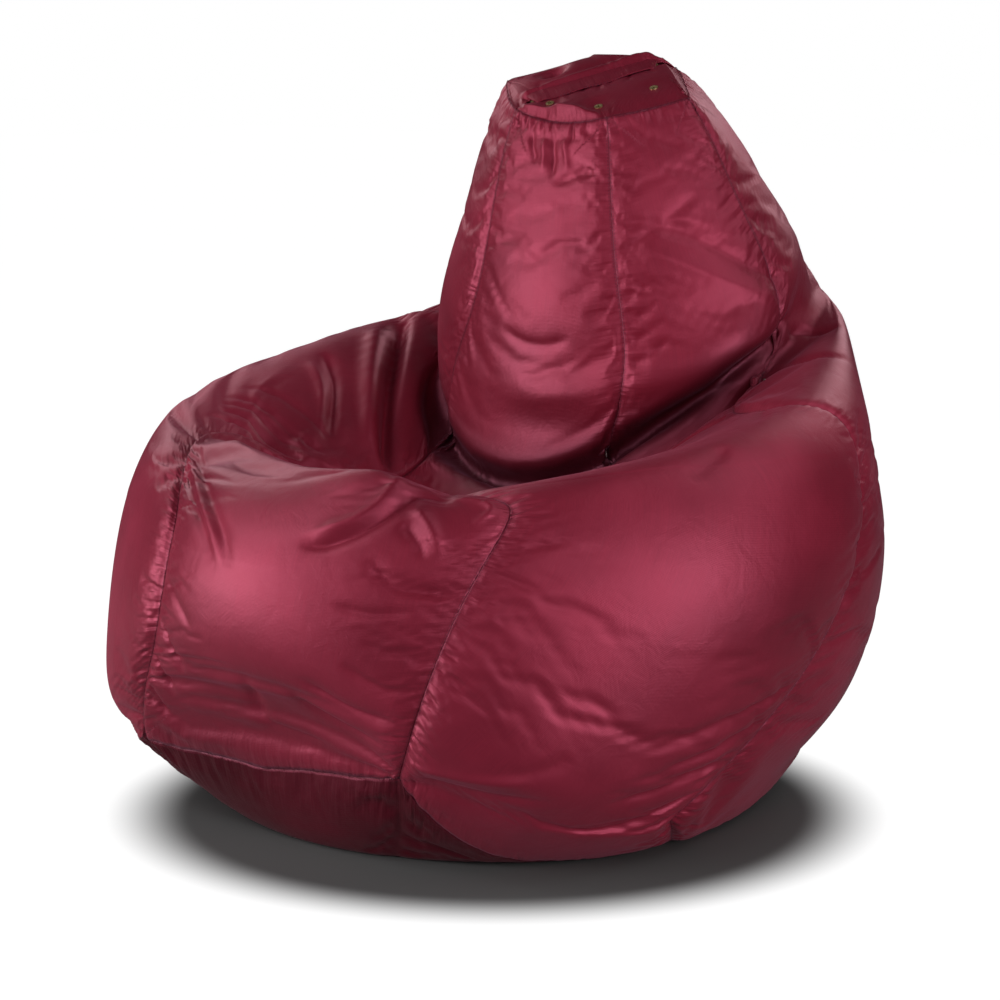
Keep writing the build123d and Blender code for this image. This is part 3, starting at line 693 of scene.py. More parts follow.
def nylon_cloth(name, light=1.0, shine=0.75, sheen=0.13):
    """Woven nylon with a satin gloss, stitched along its edges. A light below 1 darkens its colour: painted
    shade, for a shaded copy of the cloth.
    """
    material, tree = new_material(name)
    place = add_node(tree, "TexCoord")
    flat = add_node(tree, "UVMap", uv_map="cloth")
    edge = add_node(tree, "UVMap", uv_map="seam")
    # broad uneven tone of the dye and of the coat's wear
    tone = add_node(tree, "TexNoise", [("Vector", place.outputs["Object"])],
                    in_Scale=5.0, in_Detail=3.0, in_Roughness=0.55)
    dye = add_node(tree, "ValToRGB", [("Fac", tone.outputs["Fac"])])
    dye.color_ramp.elements[0].position, dye.color_ramp.elements[1].position = 0.32, 0.70
    dye.color_ramp.elements[0].color = tuple(c * light for c in linear(wine_deep)[:3]) + (1.0,)
    dye.color_ramp.elements[1].color = tuple(c * light for c in linear(wine_light)[:3]) + (1.0,)
    middle = dye.color_ramp.elements.new(0.5)
    middle.color = tuple(c * light for c in linear(wine)[:3]) + (1.0,)
    # weave: waves across and along, and yarns of uneven thickness
    warp = add_node(tree, "TexWave", [("Vector", flat.outputs[0])], bands_direction="X",
                    in_Scale=2 * math.pi / yarn_spacing / 20, in_Distortion=0.0)
    weft = add_node(tree, "TexWave", [("Vector", flat.outputs[0])], bands_direction="Y",
                    in_Scale=2 * math.pi / yarn_spacing / 20, in_Distortion=0.0)
    weave = add_node(tree, "Math", [(0, warp.outputs["Fac"]), (1, weft.outputs["Fac"])],
                     operation="MULTIPLY")
    slubs = add_node(tree, "Mapping", [("Vector", flat.outputs[0])])
    slubs.inputs["Scale"].default_value = (900.0, 18.0, 1.0)
    yarns = add_node(tree, "TexNoise", [("Vector", slubs.outputs[0])],
                     in_Scale=1.0, in_Detail=2.0)
    shade = add_node(tree, "MapRange", [("Value", yarns.outputs["Fac"])],
                     in_1=0.3, in_2=0.7, in_3=0.93, in_4=1.07)
    dyed = add_node(tree, "VectorMath", [(0, dye.outputs["Color"]), ("Scale", shade.outputs[0])],
                    operation="SCALE")
    colour = dyed.outputs[0]
    # distance from the seam and along it
    parts = add_node(tree, "SeparateXYZ", [("Vector", edge.outputs[0])])
    from_edge, along_edge = parts.outputs["X"], parts.outputs["Y"]
    turn = add_node(tree, "Math", [(0, along_edge)], operation="DIVIDE", in_1=stitch_length)
    cycle = add_node(tree, "Math", [(0, turn.outputs[0])], operation="FRACT")
    dash = add_node(tree, "Math", [(0, cycle.outputs[0])], operation="LESS_THAN", in_1=0.68)
    off = add_node(tree, "Math", [(0, from_edge)], operation="SUBTRACT", in_1=stitch_line)
    near = add_node(tree, "Math", [(0, off.outputs[0])], operation="ABSOLUTE")
    on = add_node(tree, "Math", [(0, near.outputs[0])], operation="LESS_THAN",
                  in_1=stitch_width / 2)
    stitch = add_node(tree, "Math", [(0, dash.outputs[0]), (1, on.outputs[0])],
                      operation="MULTIPLY")
    # painted shade: the colour darkens to about a third on the seam's line, in the groove where the cloth is
    # sewn
    seam = add_node(tree, "MapRange", [("Value", from_edge)],
                    in_1=0.0, in_2=0.0016, in_3=0.35, in_4=1.0)
    painted_seam_shade = add_node(tree, "VectorMath", [(0, colour), ("Scale", seam.outputs[0])],
                    operation="SCALE")
    sewn = add_node(tree, "Mix", [("Factor", stitch.outputs[0]), (6, painted_seam_shade.outputs[0])],
                    data_type="RGBA", in_7=linear(thread_tone))
    colour = sewn.outputs[2]
    # painted shade: the colour darkens to a tenth at the bottom of the waist fold, where little light reaches
    deep = add_node(tree, "Attribute", attribute_name="shade")
    painted_shade_level = add_node(tree, "MapRange", [("Value", deep.outputs["Fac"])],
                   in_1=0.0, in_2=1.0, in_3=1.0, in_4=0.10)
    painted_shade_colour = add_node(tree, "VectorMath", [(0, colour), ("Scale", painted_shade_level.outputs[0])],
                      operation="SCALE")
    colour = painted_shade_colour.outputs[0]
    # bumps: weave, small creases, and creases square to the seam
    crumple = add_node(tree, "TexNoise", [("Vector", place.outputs["Object"])],
                       in_Scale=38.0, in_Detail=5.0, in_Roughness=0.55, in_Distortion=0.6)
    stretch = add_node(tree, "Mapping", [("Vector", edge.outputs[0])])
    stretch.inputs["Scale"].default_value = (14.0, 110.0, 1.0)
    creases = add_node(tree, "TexNoise", [("Vector", stretch.outputs[0])],
                       in_Scale=1.0, in_Detail=2.0, in_Roughness=0.5)
    fade = add_node(tree, "MapRange", [("Value", from_edge)],
                    interpolation_type="SMOOTHSTEP", in_1=0.002, in_2=0.055, in_3=1.0, in_4=0.0)
    gather = add_node(tree, "Math", [(0, creases.outputs["Fac"]), (1, fade.outputs[0])],
                      operation="MULTIPLY")
    bump = add_node(tree, "Bump", [("Height", crumple.outputs["Fac"])],
                    in_Strength=0.35, in_Distance=0.0022)
    bump = add_node(tree, "Bump", [("Height", gather.outputs[0]), ("Normal", bump.outputs[0])],
                    in_Strength=0.5, in_Distance=0.004)
    bump = add_node(tree, "Bump", [("Height", weave.outputs[0]), ("Normal", bump.outputs[0])],
                    in_Strength=0.22, in_Distance=0.0004)
    gloss = add_node(tree, "MapRange", [("Value", tone.outputs["Fac"])],
                     in_1=0.3, in_2=0.7, in_3=0.38, in_4=0.48)
    shader = add_node(tree, "BsdfPrincipled",
                      [("Base Color", colour), ("Roughness", gloss.outputs[0]), ("Normal", bump.outputs[0])],
                      in_Metallic=0.22, in_IOR=1.6)
    shader.inputs["Specular IOR Level"].default_value = shine
    shader.inputs["Specular Tint"].default_value = linear("#FF92B4")
    shader.inputs["Sheen Weight"].default_value = sheen
    shader.inputs["Sheen Roughness"].default_value = 0.45
    shader.inputs["Sheen Tint"].default_value = linear("#E08FB0")
    add_node(tree, "OutputMaterial", [("Surface", shader.outputs[0])])
    return material


cover_cloth = nylon_cloth("calendered_nylon_oxford_wine")
# painted shade: the top's copy of the cloth, its colour darkened a little, with less gloss and sheen
cap_cloth_painted_shade = nylon_cloth("calendered_nylon_oxford_cap_painted_shade", light=0.85, shine=0.5, sheen=0.05)
GORES = ("gore_front", "gore_front_right", "gore_rear_right",
         "gore_rear", "gore_rear_left", "gore_front_left")
for number, node in enumerate(GORES):
    grid, across, along, from_edge, along_edge = gore_with_puckers(number)
    piece = object_from(node + "_cloth", grid, grid_faces(*grid.shape[:2], False))
    set_uv(piece, "cloth", np.stack([across, along], -1))
    set_uv(piece, "seam", np.stack([from_edge, along_edge], -1))
    # each gore's part of the waist fold's painted shade, as an attribute of its points
    around = np.concatenate([shade, shade[:, :1]], axis=1)
    set_values(piece, "shade", around[:, number * columns:(number + 1) * columns + 1])
    give_thickness(piece, cloth_thickness)
    piece.data.materials.append(cover_cloth)
    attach(piece, "bag")
    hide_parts(node)

# ---------------------------------------------------------------- base panel
# One hexagonal panel of the same cloth, flat on the floor under the filling and turned up
# round it to the seam at the foot of the gores.
floor_rows = 24
base_girth = 2.6             # of its seam, in metres
floor_rings = np.linspace(0.0, FLOOR, floor_rows + 1)[1:-1]
floor_part = bag_form(fine_gores[None, :], floor_rings[:, None])
grid = np.concatenate([floor_part, base_turn_up])
grid[..., 2] = np.maximum(grid[..., 2], 0.0)
rows, count = grid.shape[:2]
step_out = np.linalg.norm(np.diff(grid, axis=0), axis=-1).mean(axis=1)
to_edge = (step_out.sum() - np.concatenate([[0], np.cumsum(step_out)]))[:, None] + np.zeros((rows, count))
around = np.broadcast_to(np.arange(count) * base_girth / count, (rows, count))
height = leaf_puckers(to_edge, around, np.random.default_rng(80), (0.012, 0.030), (0.016, 0.048), 0.0030)
height *= np.clip(to_edge / 0.003, 0, 1) * np.clip(grid[..., 2] / 0.02, 0, 1)
outward = np.concatenate([grid[..., :2], np.zeros((rows, count, 1))], axis=-1)
grid = grid + height[..., None] * unit(outward - np.array([0, 0, 0.15]))


def capped_faces(rows, columns):
    """Faces of a closed grid, and a fan of three-sided ones from its first row to a point
    that comes after the grid's own."""
    faces = grid_faces(rows, columns, True).tolist()
    pole = rows * columns
    return faces + [((k + 1) % columns, k, pole) for k in range(columns)]


points = np.concatenate([grid.reshape(-1, 3), grid[0].mean(axis=0)[None]])
piece = object_from("base_panel_cloth", points, capped_faces(rows, count))
flat_uv = np.concatenate([grid[..., :2].reshape(-1, 2), [[0.0, 0.0]]])
edge_uv = np.concatenate([np.stack([to_edge, around], -1).reshape(-1, 2), [[0.4, 0.0]]])
set_uv(piece, "cloth", flat_uv)
set_uv(piece, "seam", edge_uv)
give_thickness(piece, cloth_thickness)
# painted shade: the panel's copy of the cover's cloth, its colour darkened to about a third, with less gloss
# and sheen
piece.data.materials.append(nylon_cloth("calendered_nylon_oxford_painted_shade", light=0.36, shine=0.35, sheen=0.02))
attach(piece, "bag")
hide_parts("base_panel")

# ---------------------------------------------------------------- the top
# Two halves of cloth over a zip. They are sewn to the gores round a flat hexagon and slope up
# to a band along the zip, and the rear half rises a little to the placket's fold.
# The top's frame has x along the zip from the front left corner, y to the rear, z out.
corners = bag_form(np.arange(7.0), np.full(7, float(TOP)))
top_origin = (corners[0] + corners[3]) / 2
top_x = unit(corners[3] - corners[0])
top_z = unit(np.cross(corners[1] - corners[0], top_x))
top_z = top_z if top_z[2] > 0 else -top_z
top_y = np.cross(top_z, top_x)
top_axes = np.array([top_x, top_y, top_z])
crown, band_half_length, band_half_width = 0.009, 0.084, 0.017
zip_channel_half, channel_taper = 0.005, 0.006
top_rows = 56
half_eyelet_hole, eyelet_calm = 0.0031, 0.017
front_swell, rear_swell = 0.0035, 0.0150
slope_rounding = 0.004


def in_top(points):
    """Points of the bag's frame in the top's."""
    return (points - top_origin) @ top_axes.T


def on_top(points):
    """Points of the top's frame in the bag's."""
    return top_origin + points @ top_axes


hexagon = in_top(corners)
# eyelets: where they stand in the top's frame
EYELETS = {"front": ((-0.0615, -0.0256), (-0.0116, -0.0718), (0.0589, -0.0659)),
           "rear": ((-0.0391, 0.0599),)}


def slope_height(x, y, side):
    """Height of the top's flat slopes: the lowest of the band's level and of the planes
    through an edge of the hexagon and the band's edge or corner."""
    seams = (0, 1, 2, 3) if side == "front" else (6, 5, 4, 3)
    sign = -1 if side == "front" else 1
    band = [np.array([end * band_half_length, sign * band_half_width, crown]) for end in (-1, 1)]
    height = np.full(x.shape, crown)
    for first, last, third in ((seams[0], seams[1], band[0]), (seams[1], seams[2], band[0]),
                               (seams[2], seams[3], band[1])):
        normal = np.cross(hexagon[last] - hexagon[first], third - hexagon[first])
        plane = hexagon[first][2] - (normal[0] * (x - hexagon[first][0])
                                     + normal[1] * (y - hexagon[first][1])) / normal[2]
        gap = np.abs(height - plane)
        height = (np.minimum(height, plane)
                  - 0.25 * slope_rounding * np.maximum(0, 1 - gap / slope_rounding) ** 2)
    return height


def half_top_grid(side):
    """Grid from the slit (first row) down to the seam with three gores (last row). A point
    lies on the straight line between its ends in plan, at the slopes' height with a soft
    swell and wrinkles that die out at the eyelets and the edges."""
    ring = np.concatenate([cover[-1], cover[-1][:1]])
    edge = ring[:3 * columns + 1] if side == "front" else ring[3 * columns:][::-1]
    edge = in_top(edge)
    sign = -1 if side == "front" else 1
    reach = (0.65 * np.interp(edge[:, 0], (edge[0, 0], edge[-1, 0]), (0, 1))
             + 0.35 * np.linspace(0, 1, edge.shape[0]))
    x = edge[0, 0] + (edge[-1, 0] - edge[0, 0]) * reach
    open_half = np.interp(np.abs(x), (band_half_length, band_half_length + channel_taper),
                          (zip_channel_half, 0.0003))
    to_corner = np.where(np.abs(x) > 0.1, np.clip((edge[-1, 0] - np.abs(x)) / 0.003, 0, 1), 1)
    inner = np.stack([x, sign * open_half * to_corner, np.zeros_like(x)], -1)
    down = np.linspace(0, 1, top_rows + 1)[:, None, None] ** 1.15
    flat = inner * (1 - down) + edge * down
    x, y = flat[..., 0], flat[..., 1]
    height = slope_height(x, y, side)
    share = down[..., 0]
    calm = np.ones_like(x)
    for ex, ey in EYELETS[side]:
        calm *= 1 - np.exp(-(((x - ex) ** 2 + (y - ey) ** 2) / eyelet_calm**2) ** 1.5)
    # swell of loose cloth, more behind the slit, and creases from the slit and from the seam
    to_slit = np.abs(y - inner[None, :, 1])
    to_seam = np.linalg.norm(edge[None, :, :2] - flat[..., :2], axis=-1)
    tall = rear_swell if side == "rear" else front_swell
    swell = tall * np.sin(np.pi * share) ** 1.3 * np.sin(np.pi * reach)[None, :] ** 0.8
    draw = np.random.default_rng(90 if side == "rear" else 91)
    creases = leaf_puckers(to_slit, x, draw, (0.012, 0.030), (0.015, 0.045), 0.0022)
    creases += leaf_puckers(to_seam, x, draw, (0.010, 0.026), (0.010, 0.032), 0.0020)
    height = height + calm * (swell + creases)
    if side == "rear":
        # rises over the placket's hem to its fold
        height += 0.0050 * np.exp(-(((y - 0.0212) / 0.0060) ** 2)) * np.clip((0.090 - np.abs(x)) / 0.01, 0, 1)
    # comes to the gores' seam in a soft roll
    edge_height = edge[None, :, 2]
    height = height + calm * (edge_height - height[-1:]) * share ** 3
    blend = np.clip((1 - share) / 0.16, 0, 1)
    blend = blend * blend * (3 - 2 * blend)
    height = edge_height + (height - edge_height) * blend + 0.0008 * np.sin(np.pi * (1 - blend))
    corner = np.clip((edge[-1, 0] - np.abs(x)) / 0.012, 0, 1)
    height = height * corner + (1 - corner) * edge_height
    return np.stack([x, y, height], -1)


def pierced(grid, side):
    """Opens a round hole at each eyelet: points near it move out to its circle, and the
    faces inside are left out. Gives the points and which faces stay."""
    points = grid.copy()
    for centre in EYELETS[side]:
        way = points[..., :2] - np.array(centre)
        far = np.linalg.norm(way, axis=-1)
        near = far < 1.6 * half_eyelet_hole
        points[near, :2] = np.array(centre) + way[near] / np.maximum(far[near], 1e-6)[:, None] * (
            half_eyelet_hole + (far[near] / 1.6) * 0.35)[:, None]
        points[far < 0.7 * half_eyelet_hole] = np.nan
    middle = (points[:-1, :-1] + points[1:, 1:] + points[:-1, 1:] + points[1:, :-1])[..., 0]
    return np.nan_to_num(points), ~np.isnan(middle).ravel()


def drop_loose(thing, distance):
    """Joins points that coincide, which closes the corners where grid lines meet, and takes
    out points without faces."""
    work = bmesh.new()
    work.from_mesh(thing.data)
    bmesh.ops.remove_doubles(work, verts=work.verts, dist=distance)
    bmesh.ops.delete(work, geom=[v for v in work.verts if not v.link_faces], context="VERTS")
    work.to_mesh(thing.data)
    work.free()


for side in ("front", "rear"):
    grid = half_top_grid(side)
    across = np.linalg.norm(np.diff(grid, axis=1), axis=-1)
    across = np.concatenate([np.zeros((len(grid), 1)), np.cumsum(across, axis=1)], axis=1)
    down = np.linalg.norm(np.diff(grid, axis=0), axis=-1)
    down = np.concatenate([np.zeros((1, grid.shape[1])), np.cumsum(down, axis=0)], axis=0)
    to_edge = down[-1:] - down
    flat_points, kept = pierced(grid, side)
    faces = grid_faces(*grid.shape[:2], False)[kept]
    faces = faces if side == "rear" else faces[:, ::-1]
    piece = object_from("top_half_" + side + "_cloth", on_top(flat_points), faces)
    set_uv(piece, "cloth", grid[..., :2])
    set_uv(piece, "seam", np.stack([to_edge, across], -1))
    drop_loose(piece, 0.00002)
    give_thickness(piece, cloth_thickness)
    piece.data.materials.append(cap_cloth_painted_shade)
    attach(piece, "bag")
    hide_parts("top_half_" + side)

# ---------------------------------------------------------------- placket over the zip
# A strip of doubled cloth that hides the zip. Its rear edge is folded and sewn to a hem on
# the rear half, and it lifts about that fold.
flap_half_length, flap_rear, flap_front = 0.082, 0.0170, -0.0150
flap_thickness = 0.0016
hem_top, flap_under = 0.01165, 0.01205


def placket_grid():
    """Grid of the flap's upper side along the zip (columns) and from its rear fold to its
    free front edge (rows): an arch that comes down in front, with slow waves."""
    x, share = np.meshgrid(np.linspace(-1, 1, 121), np.linspace(0, 1, 25))
    y = flap_rear + (flap_front - flap_rear) * share
    y = y - share * (0.0022 * np.cos(2.2 * x + 0.4) + 0.0006 * np.sin(9 * x + 1.0) - 0.0012)
    height = flap_under + flap_thickness - 0.0004 * (1 - share)
    height -= 0.0030 * share ** 2 * (1 + 0.25 * np.sin(7 * x))
    height -= 0.0020 * np.clip((np.abs(x) - 0.85) / 0.15, 0, 1) ** 2
    height += 0.0005 * share * np.sin(13 * x + 0.5) * np.sin(np.pi * share)
    ends = 1 - 0.10 * share ** 2
    return np.stack([x * flap_half_length * ends, y, height], -1)


grid = placket_grid()
piece = object_from("placket_flap_cloth", on_top(grid), grid_faces(*grid.shape[:2], False)[:, ::-1])
set_uv(piece, "cloth", grid[..., :2])
from_free = np.minimum(np.abs(grid[..., 1] - flap_front), np.abs(flap_rear - grid[..., 1]) + 0.001)
set_uv(piece, "seam", np.stack([from_free + 0.0012, grid[..., 0]], -1))
give_thickness(piece, flap_thickness)
rounded = piece.modifiers.new("edge", "BEVEL")
rounded.width, rounded.segments, rounded.limit_method = 0.0006, 2, "ANGLE"
piece.data.materials.append(cap_cloth_painted_shade)
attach(piece, "flap")
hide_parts("placket_flap")

# The hem that the placket is sewn to: a folded strip with rounded edges and two rows of
# stitches.
hem_half_length, hem_width = 0.082, 0.006


def hem_section():
    """Closed section of the hem: a rectangle with rounded upper corners."""
    turn = np.linspace(0, np.pi / 2, 7)
    rear, front, low, corner = band_half_width - 0.0002, band_half_width - hem_width, crown, 0.0011
    right = np.stack([rear - corner + corner * np.cos(turn), hem_top - corner + corner * np.sin(turn)], -1)
    left = np.stack([front + corner - corner * np.sin(turn), hem_top - corner + corner * np.cos(turn)], -1)
    return np.concatenate([[[front, low], [rear, low]], right, left])


section = hem_section()
places = np.linspace(-hem_half_length, hem_half_length, 83)
lift = 1 + 0.06 * np.sin(places / 0.004)[:, None] * (section[:, 1] > crown + 0.001)
grid = np.stack([np.repeat(places[:, None], len(section), 1),
                 np.repeat(section[None, :, 0], len(places), 0),
                 crown + (section[None, :, 1] - crown) * lift], -1)
rows, count = grid.shape[:2]
faces = grid_faces(rows, count, True).tolist()
faces += [list(range(count - 1, -1, -1)), list(range((rows - 1) * count, rows * count))]
piece = object_from("placket_hem_cloth", on_top(grid), faces)
set_uv(piece, "cloth", grid[..., :2])
set_uv(piece, "seam", np.stack([np.abs(grid[..., 1] - 0.014) + 0.0008, grid[..., 0]], -1))
piece.data.materials.append(cap_cloth_painted_shade)
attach(piece, "bag")
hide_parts("placket_hem")

# ---------------------------------------------------------------- zip
# Coil zip: two woven tapes, a nylon coil row on each, stops, and a slider without a pull tab.
tooth_spacing, rib_spacing = 0.0013, 0.0009


def paint_node(node, material):
    """Gives a CAD node's object one material."""
    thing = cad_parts[node]
    thing.data.materials.clear()
    thing.data.materials.append(material)


def along_zip(tree, scale):
    """Object coordinates turned so that X runs along the zip, times a scale."""
    place = add_node(tree, "TexCoord")
    turn = add_node(tree, "VectorMath", [(0, place.outputs["Object"])], operation="DOT_PRODUCT")
    turn.inputs[1].default_value = tuple(float(v * scale) for v in top_x)
    return turn.outputs["Value"]


def zip_tape_cloth():
    """Polyester tape, woven in fine ribs across its length, dyed to match the cover."""
    material, tree = new_material("woven_polyester_zip_tape")
    ribs = add_node(tree, "Math", [(0, along_zip(tree, 2 * math.pi / rib_spacing))], operation="SINE")
    # painted shade: the colour darkens in the grooves between the ribs, in step with their bump
    shade = add_node(tree, "MapRange", [("Value", ribs.outputs[0])],
                     in_1=-1.0, in_2=1.0, in_3=0.75, in_4=1.05)
    colour = add_node(tree, "VectorMath", [("Scale", shade.outputs[0])], operation="SCALE")
    colour.inputs[0].default_value = linear("#5A1722")[:3]
    bump = add_node(tree, "Bump", [("Height", ribs.outputs[0])],
                    in_Strength=0.6, in_Distance=0.0002)
    shader = add_node(tree, "BsdfPrincipled",
                      [("Base Color", colour.outputs[0]), ("Normal", bump.outputs[0])],
                      in_Roughness=0.72, in_IOR=1.5)
    add_node(tree, "OutputMaterial", [("Surface", shader.outputs[0])])
    return material


def zip_coil_nylon():
    """Extruded nylon monofilament, wound: glossy, with a groove between two teeth."""
    material, tree = new_material("extruded_nylon_zip_coil")
    teeth = add_node(tree, "Math", [(0, along_zip(tree, 2 * math.pi / tooth_spacing))],
                     operation="SINE")
    # painted shade: the colour darkens to a quarter in the groove between two teeth, in step with their bump
    shade = add_node(tree, "MapRange", [("Value", teeth.outputs[0])],
                     in_1=-1.0, in_2=0.4, in_3=0.25, in_4=1.0)
    colour = add_node(tree, "VectorMath", [("Scale", shade.outputs[0])], operation="SCALE")
    colour.inputs[0].default_value = linear("#6A1B29")[:3]
    bump = add_node(tree, "Bump", [("Height", teeth.outputs[0])],
                    in_Strength=0.9, in_Distance=0.0005)
    shader = add_node(tree, "BsdfPrincipled",
                      [("Base Color", colour.outputs[0]), ("Normal", bump.outputs[0])],
                      in_Roughness=0.34, in_IOR=1.53)
    add_node(tree, "OutputMaterial", [("Surface", shader.outputs[0])])
    return material


def antique_brass():
    """Stamped brass, plated dull and rubbed bright on its edges: uneven brown in the yellow,
    with fine scratches in its roughness."""
    material, tree = new_material("antique_brass_plate")
    place = add_node(tree, "TexCoord")
    tarnish = add_node(tree, "TexNoise", [("Vector", place.outputs["Object"])],
                       in_Scale=420.0, in_Detail=4.0)
    colour = add_node(tree, "ValToRGB", [("Fac", tarnish.outputs["Fac"])])
    colour.color_ramp.elements[0].position, colour.color_ramp.elements[1].position = 0.35, 0.66
    colour.color_ramp.elements[0].color = linear("#94733F")
    colour.color_ramp.elements[1].color = linear("#F0DCA8")
    scratch = add_node(tree, "TexNoise", [("Vector", place.outputs["Object"])],
                       in_Scale=2600.0, in_Detail=2.0)
    rough = add_node(tree, "MapRange", [("Value", scratch.outputs["Fac"])],
                     in_1=0.3, in_2=0.7, in_3=0.22, in_4=0.42)
    bump = add_node(tree, "Bump", [("Height", scratch.outputs["Fac"])],
                    in_Strength=0.15, in_Distance=0.0001)
    shader = add_node(tree, "BsdfPrincipled",
                      [("Base Color", colour.outputs["Color"]), ("Roughness", rough.outputs[0]),
                       ("Normal", bump.outputs[0])], in_Metallic=0.8)
    add_node(tree, "OutputMaterial", [("Surface", shader.outputs[0])])
    return material


tape, coil, brass = zip_tape_cloth(), zip_coil_nylon(), antique_brass()
for side in ("front", "rear"):
    paint_node("zip_tape_" + side, tape)
    paint_node("zip_coil_" + side, coil)
for node in ("zip_top_stops", "zip_bottom_stop", "zip_slider"):
    paint_node(node, brass)

# ---------------------------------------------------------------- eyelets
# Stamped brass eyelets set through the cloth, which let the air out when the bag is sat in,
# each clenched on a washer under the cloth.
paint_node("eyelets", brass)
paint_node("eyelet_washers", brass)

# ---------------------------------------------------------------- liner and filling
# A loose liner of thin cloth in two halves holds the foam beads. Both follow the cover's
# cloth at a distance under it, on every second row and column of its grid and on each row in
# the waist fold.
liner_depth, liner_thickness, fill_depth = 0.008, 0.0005, 0.0130
hip_depth, hip_depth_share, pinch_depth = 0.0036, 0.15, 0.016
skin = np.concatenate([base_turn_up[:-1], cover])
skin_rings = np.concatenate([np.full(2 * base_row, 2.0), fine_rings])
kept = (np.arange(len(skin)) % 2 == 0) | ((skin_rings > 7.2) & (skin_rings < 8.8))
whole, sack_rings = skin[kept][:, ::2], skin_rings[kept]
inwards = -normals_of(np.concatenate([refined(form[:base_row + 1])[:-1], fine_form])[kept][:, ::2])
for _ in range(10):
    inwards[1:-1] = unit(inwards[:-2] + inwards[2:] + 2 * inwards[1:-1])
    inwards = unit(np.roll(inwards, 1, 1) + np.roll(inwards, -1, 1) + 2 * inwards)
under_top = np.linspace(1, 0, 12)[::-1] ** 2
# Over the hips the cover folds back on itself. There the sacks keep out of the puckers along
# the seams and lie closer under the cloth, square to it.
sack_gores = fine_gores[::2]
at_waist = np.interp(sack_rings, (6.9, 7.3, 8.6, 9.0), (0, 1, 1, 0))[:, None]
at_hips = np.interp(sack_gores, (0.9, 1.3, 2.4, 2.8, 4.5, 4.8, 5.5, 5.8), (0, 1, 1, 0, 0, 1, 1, 0))
close = (at_waist * at_hips)[..., None]
for _ in range(7):
    whole = whole + 0.25 * close * (np.roll(whole, 1, 1) + np.roll(whole, -1, 1) - 2 * whole)
# Beside the seam over the right hip the cover is pinched into a thin loop, which they pass
# under.
at_pinch = (np.interp(sack_rings, (6.8, 7.2, 8.6, 9.1), (0, 1, 1, 0))[:, None]
            * np.interp(sack_gores, (1.45, 1.75, 2.35, 2.6), (0, 1, 1, 0)))[..., None]
for _ in range(60):
    beside = np.roll(whole, 1, 1) + np.roll(whole, -1, 1)
    whole[1:-1] += at_pinch[1:-1] * (beside[1:-1] + whole[2:] + whole[:-2] - 4 * whole[1:-1]) / 8
straight_in = -normals_of(whole)


def sack_points(depth, columns_kept):
    """Points of a sack at a depth under the cover (rows up, columns round), the middle of its
    flat bottom and the low point in the middle of its top."""
    inside = whole + (1 - close) * depth * inwards
    inside += close * (hip_depth + hip_depth_share * depth + pinch_depth * at_pinch) * straight_in
    inside[-12:] -= (1.5 * depth * under_top)[:, None, None] * top_z
    inside[..., 2] = np.maximum(inside[..., 2], depth)
    inside[0, :, 2] = depth
    grid = np.concatenate([inside, inside[:, :1]], axis=1)[:, columns_kept]
    bottom = np.array([0.0, floor_middle / 1000 - MIDDLE[1] / 1000, depth])
    top = on_top(np.array([0.0, 0.0, -1.5 * depth]))
    return grid, bottom, top


def sack_object(name, depth, columns_kept, material):
    """Sheet over part of the sack's columns with fans to the middles of its two ends."""
    grid, bottom, top = sack_points(depth, columns_kept)
    rows, count = grid.shape[:2]
    faces = grid_faces(rows, count, False).tolist()
    low, high, last = rows * count, rows * count + 1, (rows - 1) * count
    faces += [(k + 1, k, low) for k in range(count - 1)]
    faces += [(last + k, last + k + 1, high) for k in range(count - 1)]
    thing = object_from(name, np.concatenate([grid.reshape(-1, 3), [bottom, top]]), faces)
    drop_loose(thing, 0.00001)
    thing.data.materials.append(material)
    return thing


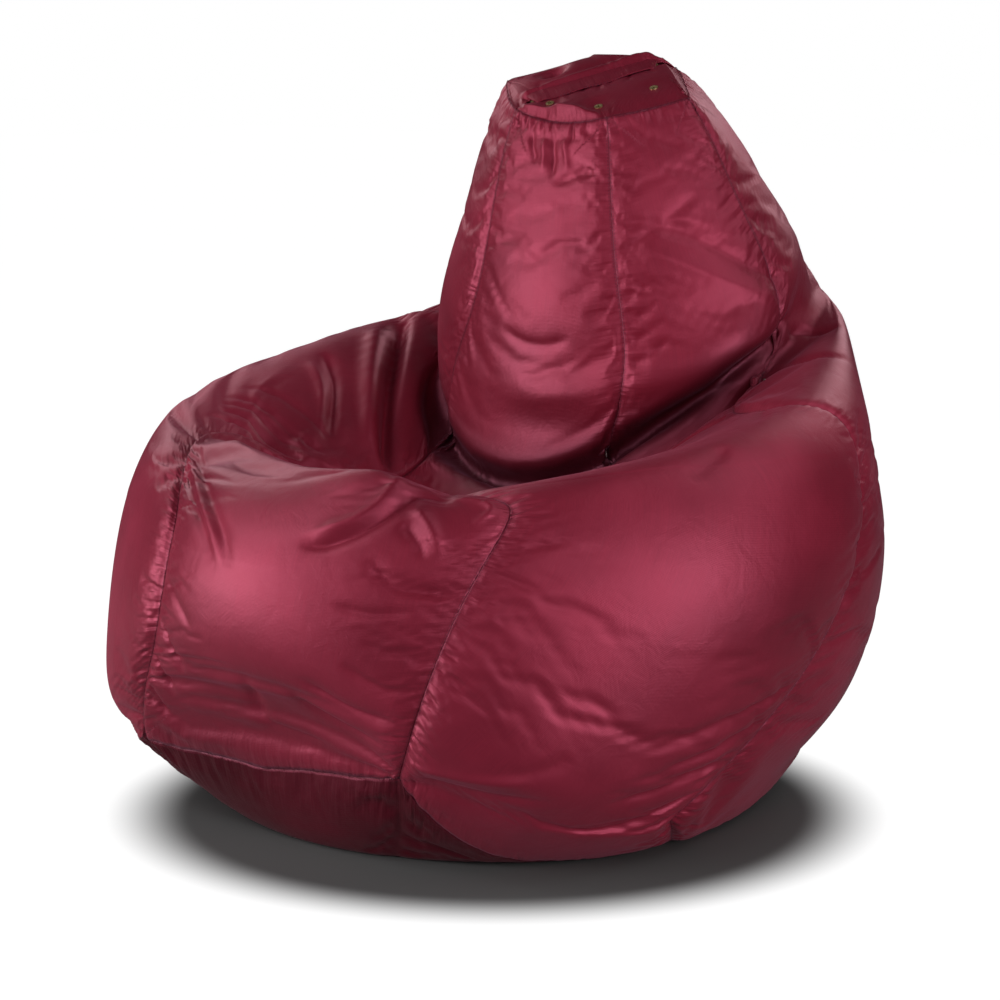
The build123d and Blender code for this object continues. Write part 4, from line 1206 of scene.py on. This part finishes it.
def liner_cloth():
    """Spunbonded polypropylene: pale matt cloth pressed with small dimples."""
    material, tree = new_material("spunbond_polypropylene_liner")
    place = add_node(tree, "TexCoord")
    dimples = add_node(tree, "TexVoronoi", [("Vector", place.outputs["Object"])], in_Scale=420.0)
    tone = add_node(tree, "TexNoise", [("Vector", place.outputs["Object"])], in_Scale=9.0)
    colour = add_node(tree, "Mix", [("Factor", tone.outputs["Fac"])], data_type="RGBA",
                      in_6=linear("#DAD6CC"), in_7=linear("#F0EDE6"))
    bump = add_node(tree, "Bump", [("Height", dimples.outputs["Distance"])],
                    in_Strength=0.5, in_Distance=0.0004)
    shader = add_node(tree, "BsdfPrincipled",
                      [("Base Color", colour.outputs[2]), ("Normal", bump.outputs[0])],
                      in_Roughness=0.85, in_IOR=1.49)
    add_node(tree, "OutputMaterial", [("Surface", shader.outputs[0])])
    return material


def foam_beads():
    """Expanded polystyrene beads: white matt balls of 3 to 5 mm, drawn as rounded cells."""
    material, tree = new_material("expanded_polystyrene_beads")
    place = add_node(tree, "TexCoord")
    balls = add_node(tree, "TexVoronoi", [("Vector", place.outputs["Object"])],
                     in_Scale=1 / 0.0045)
    # painted shade: each cell darkens to about half towards its edge, where the balls meet, so that it looks
    # round
    shade = add_node(tree, "MapRange", [("Value", balls.outputs["Distance"])],
                     in_1=0.1, in_2=0.7, in_3=0.95, in_4=0.45)
    colour = add_node(tree, "VectorMath", [("Scale", shade.outputs[0])], operation="SCALE")
    colour.inputs[0].default_value = linear("#FAF8F2")[:3]
    bump = add_node(tree, "Bump", [("Height", balls.outputs["Distance"])],
                    in_Strength=1.0, in_Distance=0.002)
    bump.invert = True
    shader = add_node(tree, "BsdfPrincipled",
                      [("Base Color", colour.outputs[0]), ("Normal", bump.outputs[0])],
                      in_Roughness=0.6, in_IOR=1.55)
    add_node(tree, "OutputMaterial", [("Surface", shader.outputs[0])])
    return material


half_way = 3 * columns // 2
liner_material = liner_cloth()
for side, first in (("front", 0), ("rear", half_way)):
    piece = sack_object("liner_" + side + "_cloth", liner_depth,
                        slice(first, first + half_way + 1), liner_material)
    give_thickness(piece, liner_thickness)
    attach(piece, "bag")
    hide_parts("liner_" + side)
piece = sack_object("bead_fill_heap", fill_depth, slice(0, 2 * half_way + 1), foam_beads())
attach(piece, "bag")
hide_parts("bead_fill")

# ---------------------------------------------------------------- view transform and end
scene.view_settings.view_transform = "Standard"
